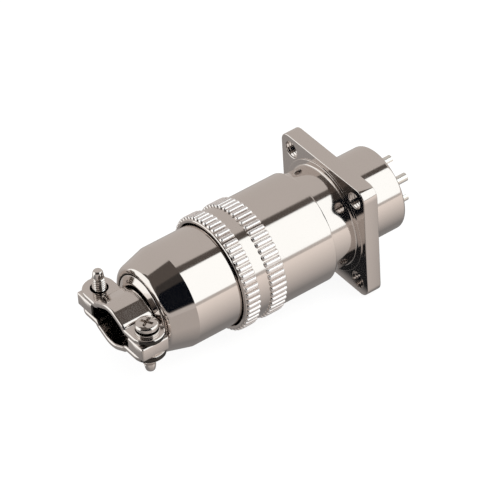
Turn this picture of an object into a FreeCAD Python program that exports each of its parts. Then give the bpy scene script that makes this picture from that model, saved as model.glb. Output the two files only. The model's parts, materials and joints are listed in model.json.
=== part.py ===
import FreeCAD, Part
import math
import os

import Sketcher
from FreeCAD import Rotation, Vector

# Aviation plug connector: a push-pull cable plug mated with its square-flange receptacle.
# Origin at the centre of the flange's front face. +X runs towards the contacts' solder ends,
# -X towards the cable, +Z is up and parallel to the clamp screws.

document = FreeCAD.newDocument("AviationPlug")
sheet = document.addObject("Spreadsheet::Sheet", "Sizes")

# Driving dimensions in millimetres, and counts
SIZES = {
    # Receptacle
    "flange_side": 24.0,
    "flange_thickness": 3.0,
    "flange_corner_radius": 2.2,
    "mount_hole_inset": 2.85,
    "mount_hole_diameter": 3.2,
    "boss_step": 1.65,
    "boss_length": 5.0,
    "barrel_wall": 1.1,
    "barrel_length": 9.1,
    "barrel_end_chamfer": 0.6,
    "nipple_diameter": 16.0,
    "nipple_length": 6.5,
    "nipple_wall": 1.4,
    "nipple_tip_chamfer": 0.3,
    "latch_groove_depth": 0.75,
    "latch_groove_width": 1.2,
    "latch_groove_setback": 2.5,
    "insulator_step_height": 0.4,
    "insulator_step_depth": 3.0,
    "insulator_spigot_length": 1.0,
    "rear_recess_depth": 2.1,
    "retaining_ring_width": 1.5,
    "retaining_ring_wall": 0.8,
    "keyway_width": 2.2,
    "keyway_depth": 0.35,
    # Contacts
    "contact_circle_diameter": 7.6,
    "pin_diameter": 1.0,
    "contact_body_diameter": 1.6,
    "pin_tip_setback": 0.5,
    "pin_projection": 3.8,
    "socket_projection": 2.4,
    "solder_cup_diameter": 1.1,
    "solder_cup_depth": 3.0,
    "socket_depth": 7.0,
    "socket_face_setback": 0.4,
    # Plug
    "mating_gap": 0.5,
    "insulator_face_gap": 0.6,
    "spigot_wall": 1.3,
    "collar_width": 1.2,
    "thread_step": 0.5,
    "plug_thread_length": 7.6,
    "plug_counterbore_depth": 4.0,
    "insulator_flange_width": 2.0,
    "insulator_flange_height": 0.9,
    "key_width": 1.6,
    "key_height": 0.4,
    # Latch collet
    "collet_ring_length": 2.2,
    "collet_wall": 0.6,
    "collet_tip_reach": 5.3,
    "lip_width": 1.0,
    "lip_floor_clearance": 0.3,
    "collet_slot_width": 0.8,
    "collet_slot_count": 8,
    # Locking sleeve and return spring
    "sleeve_wall": 1.25,
    "sleeve_length": 19.9,
    "relief_depth": 0.6,
    "relief_length": 1.6,
    "rib_width": 1.0,
    "spring_chamber_wall": 0.63,
    "spring_length": 6.0,
    "spring_clearance": 0.55,
    "spring_wire_diameter": 0.6,
    "spring_turns": 3.5,
    "spring_washer_width": 0.8,
    "spring_washer_clearance": 0.52,
    "knurl_height": 0.5,
    "knurl_count": 58,
    "knurl_groove_width": 0.42,
    "knurl_groove_floor": 0.08,
    "rear_band_width": 2.9,
    "rear_band_inset": 0.25,
    "front_band_width": 3.5,
    "band_spacing": 2.2,
    "rim_chamfer": 0.3,
    # Back shell
    "bell_cylinder_length": 11.1,
    "bell_cone_length": 5.4,
    "bell_taper": 1.42,
    "bell_end_round": 1.0,
    "bell_end_wall": 1.6,
    # Cable clamp
    "clamp_flange_height": 0.7,
    "clamp_flange_width": 1.1,
    "clamp_neck_wall": 1.4,
    "clamp_bore_step": 2.8,
    "clamp_ring_width": 0.8,
    "clamp_ring_wall": 2.2,
    "lug_setback": 1.25,
    "lug_length": 5.65,
    "lug_bore_margin": 0.15,
    "lug_overhang": 0.28,
    "lug_thickness": 2.7,
    "lug_root_width": 1.0,
    "lug_root_length": 2.3,
    "saddle_length": 6.1,
    "saddle_thickness": 1.15,
    "saddle_foot_inset": 1.05,
    "saddle_leg_degrees": 30.0,
    "saddle_crown_radius": 3.3,
    "saddle_bend_radius": 0.5,
    "saddle_ear_flat": 0.1,
    "screw_edge_distance": 2.7,
    "screw_diameter": 2.5,
    "screw_length": 9.5,
    "screw_head_diameter": 4.0,
    "screw_head_height": 1.3,
    "screw_recess_width": 0.65,
    "screw_recess_length": 2.4,
    "screw_recess_depth": 0.8,
    "screw_point_diameter": 1.8,
    "screw_point_length": 2.0,
    "screw_tip_chamfer": 0.3,
    "washer_diameter": 4.4,
    "washer_thickness": 0.5,
    # Clearances
    "seat_clearance": 0.1,
    "guide_clearance": 0.3,
    "contact_clearance": 0.08,
    "mating_clearance": 0.3,
    "collet_clearance": 0.4,
    "axial_gap": 0.3,
}

for row, (name, number) in enumerate(SIZES.items(), start=1):
    sheet.set(f"A{row}", name)
    sheet.set(f"B{row}", str(number))
    sheet.setAlias(f"B{row}", name)

document.recompute()

# Stations along X, from the solder ends to the cable end
BARREL_END = "(Sizes.flange_thickness + Sizes.barrel_length)"
RING_REAR = f"({BARREL_END} - Sizes.rear_recess_depth)"
RING_FRONT = f"({RING_REAR} - Sizes.retaining_ring_width)"
STEP = "(-Sizes.insulator_step_depth)"
INSULATOR_FACE = f"({STEP} - Sizes.insulator_spigot_length)"
BOSS_FRONT = "(-Sizes.boss_length)"
NIPPLE_TIP = f"({BOSS_FRONT} - Sizes.nipple_length)"
GROOVE_REAR = f"({NIPPLE_TIP} + Sizes.latch_groove_setback)"
GROOVE_FRONT = f"({GROOVE_REAR} + Sizes.latch_groove_width)"
GROOVE_MIDDLE = f"({GROOVE_REAR} + Sizes.latch_groove_width / 2)"
PIN_REAR = f"({BARREL_END} + Sizes.pin_projection)"
PIN_TIP = f"({NIPPLE_TIP} + Sizes.pin_tip_setback)"

PLUG_FACE = f"({NIPPLE_TIP} - Sizes.mating_gap)"
COLLAR_FRONT = f"({PLUG_FACE} - Sizes.collet_ring_length)"
COLLAR_REAR = f"({COLLAR_FRONT} - Sizes.collar_width)"
RIB_REAR = f"({COLLAR_REAR} - Sizes.rib_width)"
WASHER_FRONT = f"({RIB_REAR} - Sizes.spring_length)"
BELL_FRONT = f"({WASHER_FRONT} - Sizes.spring_washer_width)"
PLUG_REAR = f"({WASHER_FRONT} - Sizes.plug_thread_length)"
COUNTERBORE = f"({PLUG_REAR} + Sizes.plug_counterbore_depth)"
PLUG_INSULATOR_FACE = f"({INSULATOR_FACE} - Sizes.insulator_face_gap)"
PLUG_INSULATOR_REAR = f"({COUNTERBORE} - Sizes.insulator_flange_width)"
PLUG_RING_REAR = f"({PLUG_INSULATOR_REAR} - Sizes.retaining_ring_width)"
SOCKET_FACE = f"({PLUG_INSULATOR_FACE} - Sizes.socket_face_setback)"
SOCKET_REAR = f"({PLUG_RING_REAR} - Sizes.socket_projection)"

SLEEVE_FRONT = f"({BOSS_FRONT} - Sizes.axial_gap)"
SLEEVE_REAR = f"({SLEEVE_FRONT} - Sizes.sleeve_length)"
RELIEF_REAR = f"({SLEEVE_FRONT} - Sizes.relief_length)"
REAR_BAND_REAR = f"({SLEEVE_REAR} + Sizes.rear_band_inset)"
REAR_BAND_FRONT = f"({REAR_BAND_REAR} + Sizes.rear_band_width)"
FRONT_BAND_REAR = f"({REAR_BAND_FRONT} + Sizes.band_spacing)"
FRONT_BAND_FRONT = f"({FRONT_BAND_REAR} + Sizes.front_band_width)"

CONE_START = f"({BELL_FRONT} - Sizes.bell_cylinder_length)"
BELL_END = f"({CONE_START} - Sizes.bell_cone_length)"
BELL_WALL = f"({BELL_END} + Sizes.bell_end_wall)"
CLAMP_FLANGE_FRONT = f"({BELL_WALL} + Sizes.clamp_flange_width)"
CLAMP_RING_REAR = f"({CLAMP_FLANGE_FRONT} + Sizes.axial_gap)"
CLAMP_RING_FRONT = f"({CLAMP_RING_REAR} + Sizes.clamp_ring_width)"
LUG_START = f"({BELL_END} - Sizes.lug_setback)"
CABLE_END = f"({LUG_START} - Sizes.lug_length)"
SADDLE_START = f"({CABLE_END} + Sizes.saddle_length)"
SCREW_LINE = f"({CABLE_END} + Sizes.saddle_length / 2)"
NECK_END = f"({SADDLE_START} + Sizes.axial_gap)"

# Heights, offsets and radii that several pieces share
EAR_SEAT = "(Sizes.lug_thickness / 2)"
EAR_FACE = f"({EAR_SEAT} + Sizes.saddle_thickness)"
HEAD_SEAT = f"({EAR_FACE} + Sizes.washer_thickness)"
SCREW_HOLE_RADIUS = "(Sizes.screw_diameter / 2 + Sizes.seat_clearance)"
CONTACT_HOLE_RADIUS = "(Sizes.contact_body_diameter / 2 + Sizes.seat_clearance / 2)"
CONTACT_CIRCLE_RADIUS = "(Sizes.contact_circle_diameter / 2)"
MOUNT_HOLE_OFFSET = "(Sizes.flange_side / 2 - Sizes.mount_hole_inset)"

NIPPLE = "(Sizes.nipple_diameter / 2)"
NIPPLE_BORE = f"({NIPPLE} - Sizes.nipple_wall)"
BOSS = f"({NIPPLE} + Sizes.boss_step)"
REAR_BORE = f"({NIPPLE_BORE} + Sizes.insulator_step_height)"
BARREL = f"({REAR_BORE} + Sizes.barrel_wall)"
GROOVE_FLOOR = f"({NIPPLE} - Sizes.latch_groove_depth)"

INSULATOR_RADIUS = f"({NIPPLE_BORE} - Sizes.mating_clearance)"
PLUG_BORE = f"({INSULATOR_RADIUS} + Sizes.seat_clearance)"
SPIGOT = f"({PLUG_BORE} + Sizes.spigot_wall)"
THREAD = f"({SPIGOT} + Sizes.thread_step)"
COUNTERBORE_RADIUS = f"({PLUG_BORE} + Sizes.insulator_flange_height)"
FINGER_BORE = f"({NIPPLE} + Sizes.collet_clearance)"
COLLAR = f"({FINGER_BORE} + Sizes.collet_wall)"

SLEEVE_BORE = f"({COLLAR} + Sizes.guide_clearance)"
SLEEVE = f"({SLEEVE_BORE} + Sizes.sleeve_wall)"
KNURL = f"({SLEEVE} + Sizes.knurl_height)"
CHAMBER = f"({SLEEVE} - Sizes.spring_chamber_wall)"
WIRE = "(Sizes.spring_wire_diameter / 2)"
COIL = f"({SPIGOT} + Sizes.spring_clearance + {WIRE})"

BELL = f"({CHAMBER} - Sizes.guide_clearance)"
BELL_BORE = f"({THREAD} + Sizes.seat_clearance)"
CLAMP_BORE = f"({NIPPLE} - Sizes.clamp_bore_step)"
NECK = f"({CLAMP_BORE} + Sizes.clamp_neck_wall)"
CLAMP_FLANGE = f"({NECK} + Sizes.clamp_flange_height)"
LUG_INNER = f"({CLAMP_BORE} + Sizes.lug_bore_margin)"
LUG_OUTER = f"({BELL} + Sizes.lug_overhang)"
SCREW_OFFSET = f"({LUG_OUTER} - Sizes.screw_edge_distance)"
SADDLE_FOOT = f"({LUG_INNER} - Sizes.saddle_foot_inset)"

# The contacts stand evenly round their circle, and the key lies between two of them, towards -Y
CONTACT_COUNT = 5
CONTACT_STEP_DEGREES = 360.0 / CONTACT_COUNT
WIRE_SIDES = 6
HIDDEN_LINE_END = 0.01


def value(formula):
    """The number that a formula of sheet cells gives."""
    return float(sheet.evalExpression(formula))


def origin_part(body, role):
    """An axis or plane of a body's own origin."""
    for feature in body.Origin.OriginFeatures:
        if feature.Role == role:
            return feature
    raise ValueError(role)


def new_body(label):
    """An empty body named after its piece."""
    body = document.addObject("PartDesign::Body", label)
    body.Label = label
    return body


def new_sketch(body, plane, name, offset=None):
    """A sketch on one of the body's origin planes, moved along the plane's normal by a formula."""
    sketch = body.newObject("Sketcher::SketchObject", name)
    sketch.AttachmentSupport = [(origin_part(body, plane), "")]
    sketch.MapMode = "FlatFace"
    if offset is not None:
        sketch.setExpression("AttachmentOffset.Base.z", offset)
    return sketch


def bind_point(sketch, element, end, across, up):
    """Tie one end of a sketch element to formulas for its two coordinates."""
    for kind, formula in (("DistanceX", across), ("DistanceY", up)):
        constraint = Sketcher.Constraint(kind, -1, 1, element, end, value(formula))
        index = sketch.addConstraint(constraint)
        sketch.setExpression(f"Constraints[{index}]", formula)


def closed_outline(sketch, corners):
    """A closed run of straight lines through corners given as pairs of formulas."""
    points = []
    for across, up in corners:
        points.append(Vector(value(across), value(up), 0))
    count = len(points)
    for index in range(count):
        sketch.addGeometry(Part.LineSegment(points[index], points[(index + 1) % count]), False)
    for index in range(count):
        following = (index + 1) % count
        sketch.addConstraint(Sketcher.Constraint("Coincident", index, 2, following, 1))
    for index, (across, up) in enumerate(corners):
        bind_point(sketch, index, 1, across, up)


def circle(sketch, across, up, radius):
    """A circle with its centre and radius tied to formulas."""
    centre = Vector(value(across), value(up), 0)
    index = sketch.addGeometry(Part.Circle(centre, Vector(0, 0, 1), value(radius)), False)
    bind_point(sketch, index, 3, across, up)
    constraint = sketch.addConstraint(Sketcher.Constraint("Radius", index, value(radius)))
    sketch.setExpression(f"Constraints[{constraint}]", radius)


def turned(body, name, corners, kind="Revolution", axis="H_Axis", plane="XY_Plane"):
    """Revolve a closed profile about one of its sketch's axes, adding or cutting."""
    sketch = new_sketch(body, plane, name + "Profile")
    closed_outline(sketch, corners)
    feature = body.newObject("PartDesign::" + kind, name)
    feature.Profile = sketch
    feature.ReferenceAxis = (sketch, [axis])
    feature.Angle = 360.0
    sketch.Visibility = False
    return feature


def prism(body, name, sketch, length, kind="Pad", reverse=False, both_ways=False):
    """Push a sketch along its normal, adding or cutting."""
    feature = body.newObject("PartDesign::" + kind, name)
    feature.Profile = sketch
    feature.setExpression("Length", length)
    feature.Reversed = reverse
    feature.Midplane = both_ways
    sketch.Visibility = False
    return feature


def round_pattern(body, name, features, count):
    """Repeat features evenly about the body's X axis."""
    pattern = body.newObject("PartDesign::PolarPattern", name)
    pattern.Originals = features
    pattern.Axis = (origin_part(body, "X_Axis"), [""])
    pattern.Angle = 360.0
    if isinstance(count, str):
        pattern.setExpression("Occurrences", count)
    else:
        pattern.Occurrences = count
    body.Tip = pattern
    return pattern


def edges_where(feature, test):
    """Names of the edges of a feature whose middle point and direction pass a test."""
    document.recompute()
    names = []
    for index, edge in enumerate(feature.Shape.Edges, start=1):
        low, high = edge.ParameterRange
        middle = edge.valueAt((low + high) / 2)
        direction = edge.valueAt(high) - edge.valueAt(low)
        if test(edge, middle, direction):
            names.append(f"Edge{index}")
    return names


def rounded(body, name, feature, test, radius):
    """Round the edges of a feature that pass a test."""
    fillet = body.newObject("PartDesign::Fillet", name)
    fillet.Base = (feature, edges_where(feature, test))
    fillet.setExpression("Radius", radius)
    body.Tip = fillet
    return fillet


def rectangle(low_across, low_up, high_across, high_up):
    """The four corners of a rectangle, as pairs of formulas."""
    return [
        (low_across, low_up),
        (high_across, low_up),
        (high_across, high_up),
        (low_across, high_up),
    ]


def tube(body, name, low, high, inner, outer):
    """A plain turned ring between two stations and two radii."""
    return turned(body, name, rectangle(low, inner, high, outer))


def receptacle_shell():
    """Flange, boss, nipple and rear barrel, turned and milled from one bar."""
    body = new_body("receptacle_shell")
    flange_sketch = new_sketch(body, "YZ_Plane", "FlangeOutline")
    half = "Sizes.flange_side / 2"
    closed_outline(flange_sketch, rectangle(f"-{half}", f"-{half}", half, half))
    flange = prism(body, "Flange", flange_sketch, "Sizes.flange_thickness")

    def is_corner(edge, middle, direction):
        return abs(direction.x) > abs(direction.y) + abs(direction.z)

    rounded(body, "FlangeCorners", flange, is_corner, "Sizes.flange_corner_radius")
    chamfer = "Sizes.barrel_end_chamfer"
    tip_chamfer = "Sizes.nipple_tip_chamfer"
    turned(body, "Turning", [
        (NIPPLE_TIP, "0"),
        (NIPPLE_TIP, f"{NIPPLE} - {tip_chamfer}"),
        (f"{NIPPLE_TIP} + {tip_chamfer}", NIPPLE),
        (GROOVE_REAR, NIPPLE),
        (GROOVE_REAR, GROOVE_FLOOR),
        (GROOVE_FRONT, GROOVE_FLOOR),
        (GROOVE_FRONT, NIPPLE),
        (BOSS_FRONT, NIPPLE),
        (BOSS_FRONT, BOSS),
        ("Sizes.flange_thickness / 2", BOSS),
        ("Sizes.flange_thickness / 2", BARREL),
        (f"{BARREL_END} - {chamfer}", BARREL),
        (BARREL_END, f"{BARREL} - {chamfer}"),
        (BARREL_END, "0"),
    ])
    turned(body, "Bore", [
        (f"{NIPPLE_TIP} - 1", "0"),
        (f"{NIPPLE_TIP} - 1", NIPPLE_BORE),
        (STEP, NIPPLE_BORE),
        (STEP, REAR_BORE),
        (f"{BARREL_END} + 1", REAR_BORE),
        (f"{BARREL_END} + 1", "0"),
    ], kind="Groove")
    hole_sketch = new_sketch(body, "YZ_Plane", "MountHoleOutline")
    circle(hole_sketch, MOUNT_HOLE_OFFSET, MOUNT_HOLE_OFFSET, "Sizes.mount_hole_diameter / 2")
    hole = prism(body, "MountHole", hole_sketch, "Sizes.flange_thickness", kind="Pocket", reverse=True)
    round_pattern(body, "MountHoles", [hole], 4)
    key_sketch = new_sketch(body, "YZ_Plane", "KeywayOutline", offset=INSULATOR_FACE)
    keyway_floor = f"-({NIPPLE_BORE} + Sizes.keyway_depth)"
    half_key = "Sizes.keyway_width / 2"
    closed_outline(key_sketch, rectangle(keyway_floor, f"-{half_key}", f"-{NIPPLE_BORE} / 2", half_key))
    prism(body, "Keyway", key_sketch, f"{INSULATOR_FACE} - {NIPPLE_TIP} + 1", kind="Pocket")


def contact_holes(body, low, high):
    """Through holes for the contacts."""
    sketch = new_sketch(body, "YZ_Plane", "ContactHoleOutline", offset=f"{low} - 1")
    circle(sketch, CONTACT_CIRCLE_RADIUS, "0", CONTACT_HOLE_RADIUS)
    hole = prism(body, "ContactHole", sketch, f"{high} - {low} + 2", kind="Pocket", reverse=True)
    round_pattern(body, "ContactHoles", [hole], CONTACT_COUNT)


def receptacle_insulator():
    """Moulded insulator seated on the step inside the receptacle."""
    body = new_body("receptacle_insulator")
    spigot = f"{NIPPLE_BORE} - Sizes.seat_clearance"
    outer = f"({REAR_BORE} - Sizes.seat_clearance)"
    turned(body, "Moulding", [
        (INSULATOR_FACE, "0"),
        (INSULATOR_FACE, spigot),
        (STEP, spigot),
        (STEP, outer),
        (RING_FRONT, outer),
        (RING_FRONT, "0"),
    ])
    contact_holes(body, INSULATOR_FACE, RING_FRONT)


def receptacle_ring():
    """Ring that holds the insulator in the rear barrel."""
    body = new_body("receptacle_ring")
    outer = f"({REAR_BORE} - Sizes.seat_clearance)"
    tube(body, "Ring", RING_FRONT, RING_REAR, f"{outer} - Sizes.retaining_ring_wall", outer)


def place_contact(body, number):
    """Set a contact on its circle, turned so that its solder cup opens towards the axis."""
    degrees = CONTACT_STEP_DEGREES * (number - 1)
    body.Placement.Rotation = Rotation(Vector(1, 0, 0), degrees + 180)
    body.setExpression("Placement.Base.y", f"{CONTACT_CIRCLE_RADIUS} * cos({degrees} deg)")
    body.setExpression("Placement.Base.z", f"{CONTACT_CIRCLE_RADIUS} * sin({degrees} deg)")


def solder_cup(body, mouth, towards_rear):
    """Bore a solder cup and cut away one side of its wall near the mouth."""
    depth = "Sizes.solder_cup_depth"
    far = f"{mouth} + 1" if towards_rear else f"{mouth} - 1"
    bottom = f"{mouth} - {depth}" if towards_rear else f"{mouth} + {depth}"
    notch = f"{mouth} - {depth} / 2" if towards_rear else f"{mouth} + {depth} / 2"
    cup = "Sizes.solder_cup_diameter / 2"
    turned(body, "CupBore", [(bottom, "0"), (bottom, cup), (far, cup), (far, "0")], kind="Groove")
    sketch = new_sketch(body, "XY_Plane", "CupMouth")
    closed_outline(sketch, [
        (notch, f"{cup} / 3"),
        (far, f"{cup} / 3"),
        (far, "Sizes.contact_body_diameter"),
        (notch, "Sizes.contact_body_diameter"),
    ])
    prism(body, "CupOpening", sketch, "Sizes.contact_body_diameter * 2", kind="Pocket", both_ways=True)


def contact_pin(number):
    """Pin contact of the receptacle, with its solder cup at the rear."""
    body = new_body(f"pin_{number}")
    pin = "Sizes.pin_diameter / 2"
    shank = "Sizes.contact_body_diameter / 2"
    turned(body, "Turning", [
        (PIN_TIP, "0"),
        (PIN_TIP, f"{pin} / 2"),
        (f"{PIN_TIP} + {pin}", pin),
        (INSULATOR_FACE, pin),
        (INSULATOR_FACE, shank),
        (PIN_REAR, shank),
        (PIN_REAR, "0"),
    ])
    solder_cup(body, PIN_REAR, True)
    place_contact(body, number)


def contact_socket(number):
    """Socket contact of the plug, bored for the pin and cupped for the wire."""
    body = new_body(f"socket_{number}")
    shank = "Sizes.contact_body_diameter / 2"
    bore = "(Sizes.pin_diameter / 2 + Sizes.contact_clearance)"
    bottom = f"{SOCKET_FACE} - Sizes.socket_depth"
    turned(body, "Turning", [
        (SOCKET_REAR, "0"),
        (SOCKET_REAR, shank),
        (SOCKET_FACE, shank),
        (SOCKET_FACE, bore),
        (bottom, bore),
        (bottom, "0"),
    ])
    solder_cup(body, SOCKET_REAR, False)
    place_contact(body, number)


def plug_shell():
    """Turned core of the plug, with the collar, the spring seat and the rear thread."""
    body = new_body("plug_shell")
    turned(body, "Turning", [
        (PLUG_FACE, PLUG_BORE),
        (PLUG_FACE, SPIGOT),
        (COLLAR_FRONT, SPIGOT),
        (COLLAR_FRONT, COLLAR),
        (COLLAR_REAR, COLLAR),
        (COLLAR_REAR, SPIGOT),
        (WASHER_FRONT, SPIGOT),
        (WASHER_FRONT, THREAD),
        (PLUG_REAR, THREAD),
        (PLUG_REAR, COUNTERBORE_RADIUS),
        (COUNTERBORE, COUNTERBORE_RADIUS),
        (COUNTERBORE, PLUG_BORE),
    ])


def latch_collet():
    """Slotted spring collet whose lips stand in the nipple's groove."""
    body = new_body("latch_collet")
    seat = f"({SPIGOT} + Sizes.seat_clearance)"
    lip = f"({GROOVE_FLOOR} + Sizes.lip_floor_clearance)"
    lip_rear = f"({GROOVE_MIDDLE} - Sizes.lip_width / 2)"
    lip_front = f"({GROOVE_MIDDLE} + Sizes.lip_width / 2)"
    tip = f"({NIPPLE_TIP} + Sizes.collet_tip_reach)"
    ring_front = f"({COLLAR_FRONT} + Sizes.collet_ring_length * 0.9)"
    turned(body, "Turning", [
        (COLLAR_FRONT, seat),
        (COLLAR_FRONT, COLLAR),
        (tip, COLLAR),
        (tip, FINGER_BORE),
        (lip_front, FINGER_BORE),
        (lip_front, lip),
        (lip_rear, lip),
        (lip_rear, FINGER_BORE),
        (ring_front, FINGER_BORE),
        (ring_front, seat),
    ])
    sketch = new_sketch(body, "XY_Plane", "SlotOutline")
    half_slot = "Sizes.collet_slot_width / 2"
    closed_outline(sketch, rectangle(ring_front, f"-{half_slot}", f"{tip} + 1", half_slot))
    slot = prism(body, "Slot", sketch, f"{COLLAR} + 1", kind="Pocket", reverse=True)
    round_pattern(body, "Slots", [slot], "Sizes.collet_slot_count")


def locking_sleeve():
    """Sliding sleeve with an inner rib and two straight-knurled bands."""
    body = new_body("locking_sleeve")
    relief = f"({SLEEVE_BORE} + Sizes.relief_depth)"
    rib = f"({SPIGOT} + Sizes.guide_clearance)"
    chamfer = "Sizes.rim_chamfer"
    edge = "Sizes.knurl_height / 2"
    turned(body, "Turning", [
        (SLEEVE_FRONT, relief),
        (SLEEVE_FRONT, f"{SLEEVE} - {chamfer}"),
        (f"{SLEEVE_FRONT} - {chamfer}", SLEEVE),
        (FRONT_BAND_FRONT, SLEEVE),
        (f"{FRONT_BAND_FRONT} - {edge}", KNURL),
        (f"{FRONT_BAND_REAR} + {edge}", KNURL),
        (FRONT_BAND_REAR, SLEEVE),
        (REAR_BAND_FRONT, SLEEVE),
        (f"{REAR_BAND_FRONT} - {edge}", KNURL),
        (f"{REAR_BAND_REAR} + {edge}", KNURL),
        (REAR_BAND_REAR, SLEEVE),
        (f"{SLEEVE_REAR} + {chamfer} / 2", SLEEVE),
        (SLEEVE_REAR, f"{SLEEVE} - {chamfer} / 2"),
        (SLEEVE_REAR, f"{CHAMBER} + {chamfer} / 3"),
        (f"{SLEEVE_REAR} + {chamfer}", CHAMBER),
        (RIB_REAR, CHAMBER),
        (RIB_REAR, rib),
        (COLLAR_REAR, rib),
        (COLLAR_REAR, SLEEVE_BORE),
        (RELIEF_REAR, SLEEVE_BORE),
        (RELIEF_REAR, relief),
    ])
    sketch = new_sketch(body, "YZ_Plane", "KnurlGrooveOutline", offset=f"{REAR_BAND_REAR} - 0.1")
    half_floor = "Sizes.knurl_groove_width / 3"
    half_mouth = "Sizes.knurl_groove_width * 0.7"
    floor = f"({SLEEVE} + Sizes.knurl_groove_floor)"
    closed_outline(sketch, [
        (f"-{half_floor}", floor),
        (half_floor, floor),
        (half_mouth, f"{KNURL} + Sizes.knurl_groove_width / 2"),
        (f"-{half_mouth}", f"{KNURL} + Sizes.knurl_groove_width / 2"),
    ])
    length = f"{FRONT_BAND_FRONT} - {REAR_BAND_REAR} + 0.2"
    groove = prism(body, "KnurlGroove", sketch, length, kind="Pocket", reverse=True)
    round_pattern(body, "Knurling", [groove], "Sizes.knurl_count")


def return_spring():
    """Compression spring between the sleeve's rib and the spring washer, its wire drawn six-sided."""
    body = new_body("return_spring")
    sketch = new_sketch(body, "XY_Plane", "WireSection")
    span = f"({RIB_REAR} - {WASHER_FRONT} - 2 * {WIRE} - 2 * Sizes.seat_clearance)"
    start = f"({WASHER_FRONT} + {WIRE} + Sizes.seat_clearance)"
    corners = []
    for side in range(WIRE_SIDES):
        angle = f"{360 / WIRE_SIDES * side} deg"
        corners.append((f"{start} + {WIRE} * cos({angle})", f"{COIL} + {WIRE} * sin({angle})"))
    closed_outline(sketch, corners)
    coil = body.newObject("PartDesign::AdditiveHelix", "Coil")
    coil.Profile = sketch
    coil.ReferenceAxis = (sketch, ["H_Axis"])
    coil.Mode = "height-turns-angle"
    coil.setExpression("Height", span)
    coil.setExpression("Turns", "Sizes.spring_turns")
    sketch.Visibility = False


def spring_washer():
    """Flat washer that the spring bears on, held by the back shell's front face."""
    body = new_body("spring_washer")
    inner = f"{THREAD} + Sizes.seat_clearance"
    outer = f"{CHAMBER} - Sizes.spring_washer_clearance"
    tube(body, "Ring", BELL_FRONT, WASHER_FRONT, inner, outer)


def plug_insulator():
    """Long moulded insulator of the plug, keyed on one side and flanged at the rear."""
    body = new_body("plug_insulator")
    flange = f"{COUNTERBORE_RADIUS} - Sizes.seat_clearance"
    key_sketch = new_sketch(body, "YZ_Plane", "KeyOutline", offset=PLUG_INSULATOR_FACE)
    half_key = "Sizes.key_width / 2"
    crest = f"-({INSULATOR_RADIUS} + Sizes.key_height)"
    closed_outline(key_sketch, rectangle(crest, f"-{half_key}", f"-{INSULATOR_RADIUS} / 2", half_key))
    key_length = f"{PLUG_INSULATOR_FACE} - {PLUG_FACE} - Sizes.axial_gap"
    prism(body, "Key", key_sketch, key_length, reverse=True)
    turned(body, "Moulding", [
        (PLUG_INSULATOR_FACE, "0"),
        (PLUG_INSULATOR_FACE, INSULATOR_RADIUS),
        (COUNTERBORE, INSULATOR_RADIUS),
        (COUNTERBORE, flange),
        (PLUG_INSULATOR_REAR, flange),
        (PLUG_INSULATOR_REAR, "0"),
    ])
    contact_holes(body, PLUG_INSULATOR_REAR, PLUG_INSULATOR_FACE)


def plug_ring():
    """Ring that holds the plug insulator in its counterbore."""
    body = new_body("plug_ring")
    outer = f"({COUNTERBORE_RADIUS} - Sizes.seat_clearance)"
    tube(body, "Ring", PLUG_RING_REAR, PLUG_INSULATOR_REAR, f"{outer} - Sizes.retaining_ring_wall", outer)


def back_shell():
    """Bell with a threaded front, a cone and a rounded cable end."""
    body = new_body("back_shell")
    opening = f"({NECK} + Sizes.guide_clearance)"
    pocket = f"({CLAMP_FLANGE} + Sizes.guide_clearance)"
    bell = turned(body, "Turning", [
        (BELL_FRONT, BELL_BORE),
        (BELL_FRONT, BELL),
        (CONE_START, BELL),
        (BELL_END, f"{BELL} - Sizes.bell_taper"),
        (BELL_END, opening),
        (BELL_WALL, opening),
        (BELL_WALL, pocket),
        (CLAMP_RING_REAR, pocket),
        (CLAMP_RING_REAR, BELL_BORE),
    ])

    def is_rim(edge, middle, direction):
        at_end = abs(middle.x - value(BELL_END)) < HIDDEN_LINE_END
        return at_end and math.hypot(middle.y, middle.z) > value(opening) + HIDDEN_LINE_END

    rounded(body, "EndRound", bell, is_rim, "Sizes.bell_end_round")


def clamp_ring():
    """Ring inside the bell that keeps the clamp body's flange in its pocket."""
    body = new_body("clamp_ring")
    outer = f"({BELL_BORE} - Sizes.seat_clearance)"
    tube(body, "Ring", CLAMP_RING_REAR, CLAMP_RING_FRONT, f"{outer} - Sizes.clamp_ring_wall", outer)


def clamp_body():
    """Swivelling clamp body: a flanged neck with a square lug on each side."""
    body = new_body("clamp_body")
    turned(body, "Neck", [
        (CLAMP_FLANGE_FRONT, CLAMP_BORE),
        (CLAMP_FLANGE_FRONT, CLAMP_FLANGE),
        (BELL_WALL, CLAMP_FLANGE),
        (BELL_WALL, NECK),
        (NECK_END, NECK),
        (NECK_END, CLAMP_BORE),
    ])
    root = f"({LUG_INNER} + Sizes.lug_root_width)"
    root_end = f"({LUG_START} + Sizes.lug_root_length)"
    sketch = new_sketch(body, "XY_Plane", "LugOutline")
    closed_outline(sketch, [
        (CABLE_END, LUG_INNER),
        (CABLE_END, LUG_OUTER),
        (LUG_START, LUG_OUTER),
        (LUG_START, root),
        (root_end, root),
        (root_end, LUG_INNER),
    ])
    lug = prism(body, "Lug", sketch, "Sizes.lug_thickness", both_ways=True)
    round_pattern(body, "Lugs", [lug], 2)
    sketch = new_sketch(body, "XY_Plane", "LugHoleOutline")
    for side in ("", "-"):
        circle(sketch, SCREW_LINE, f"{side}{SCREW_OFFSET}", SCREW_HOLE_RADIUS)
    prism(body, "LugHoles", sketch, "Sizes.lug_thickness * 2", kind="Pocket", both_ways=True)


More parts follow.
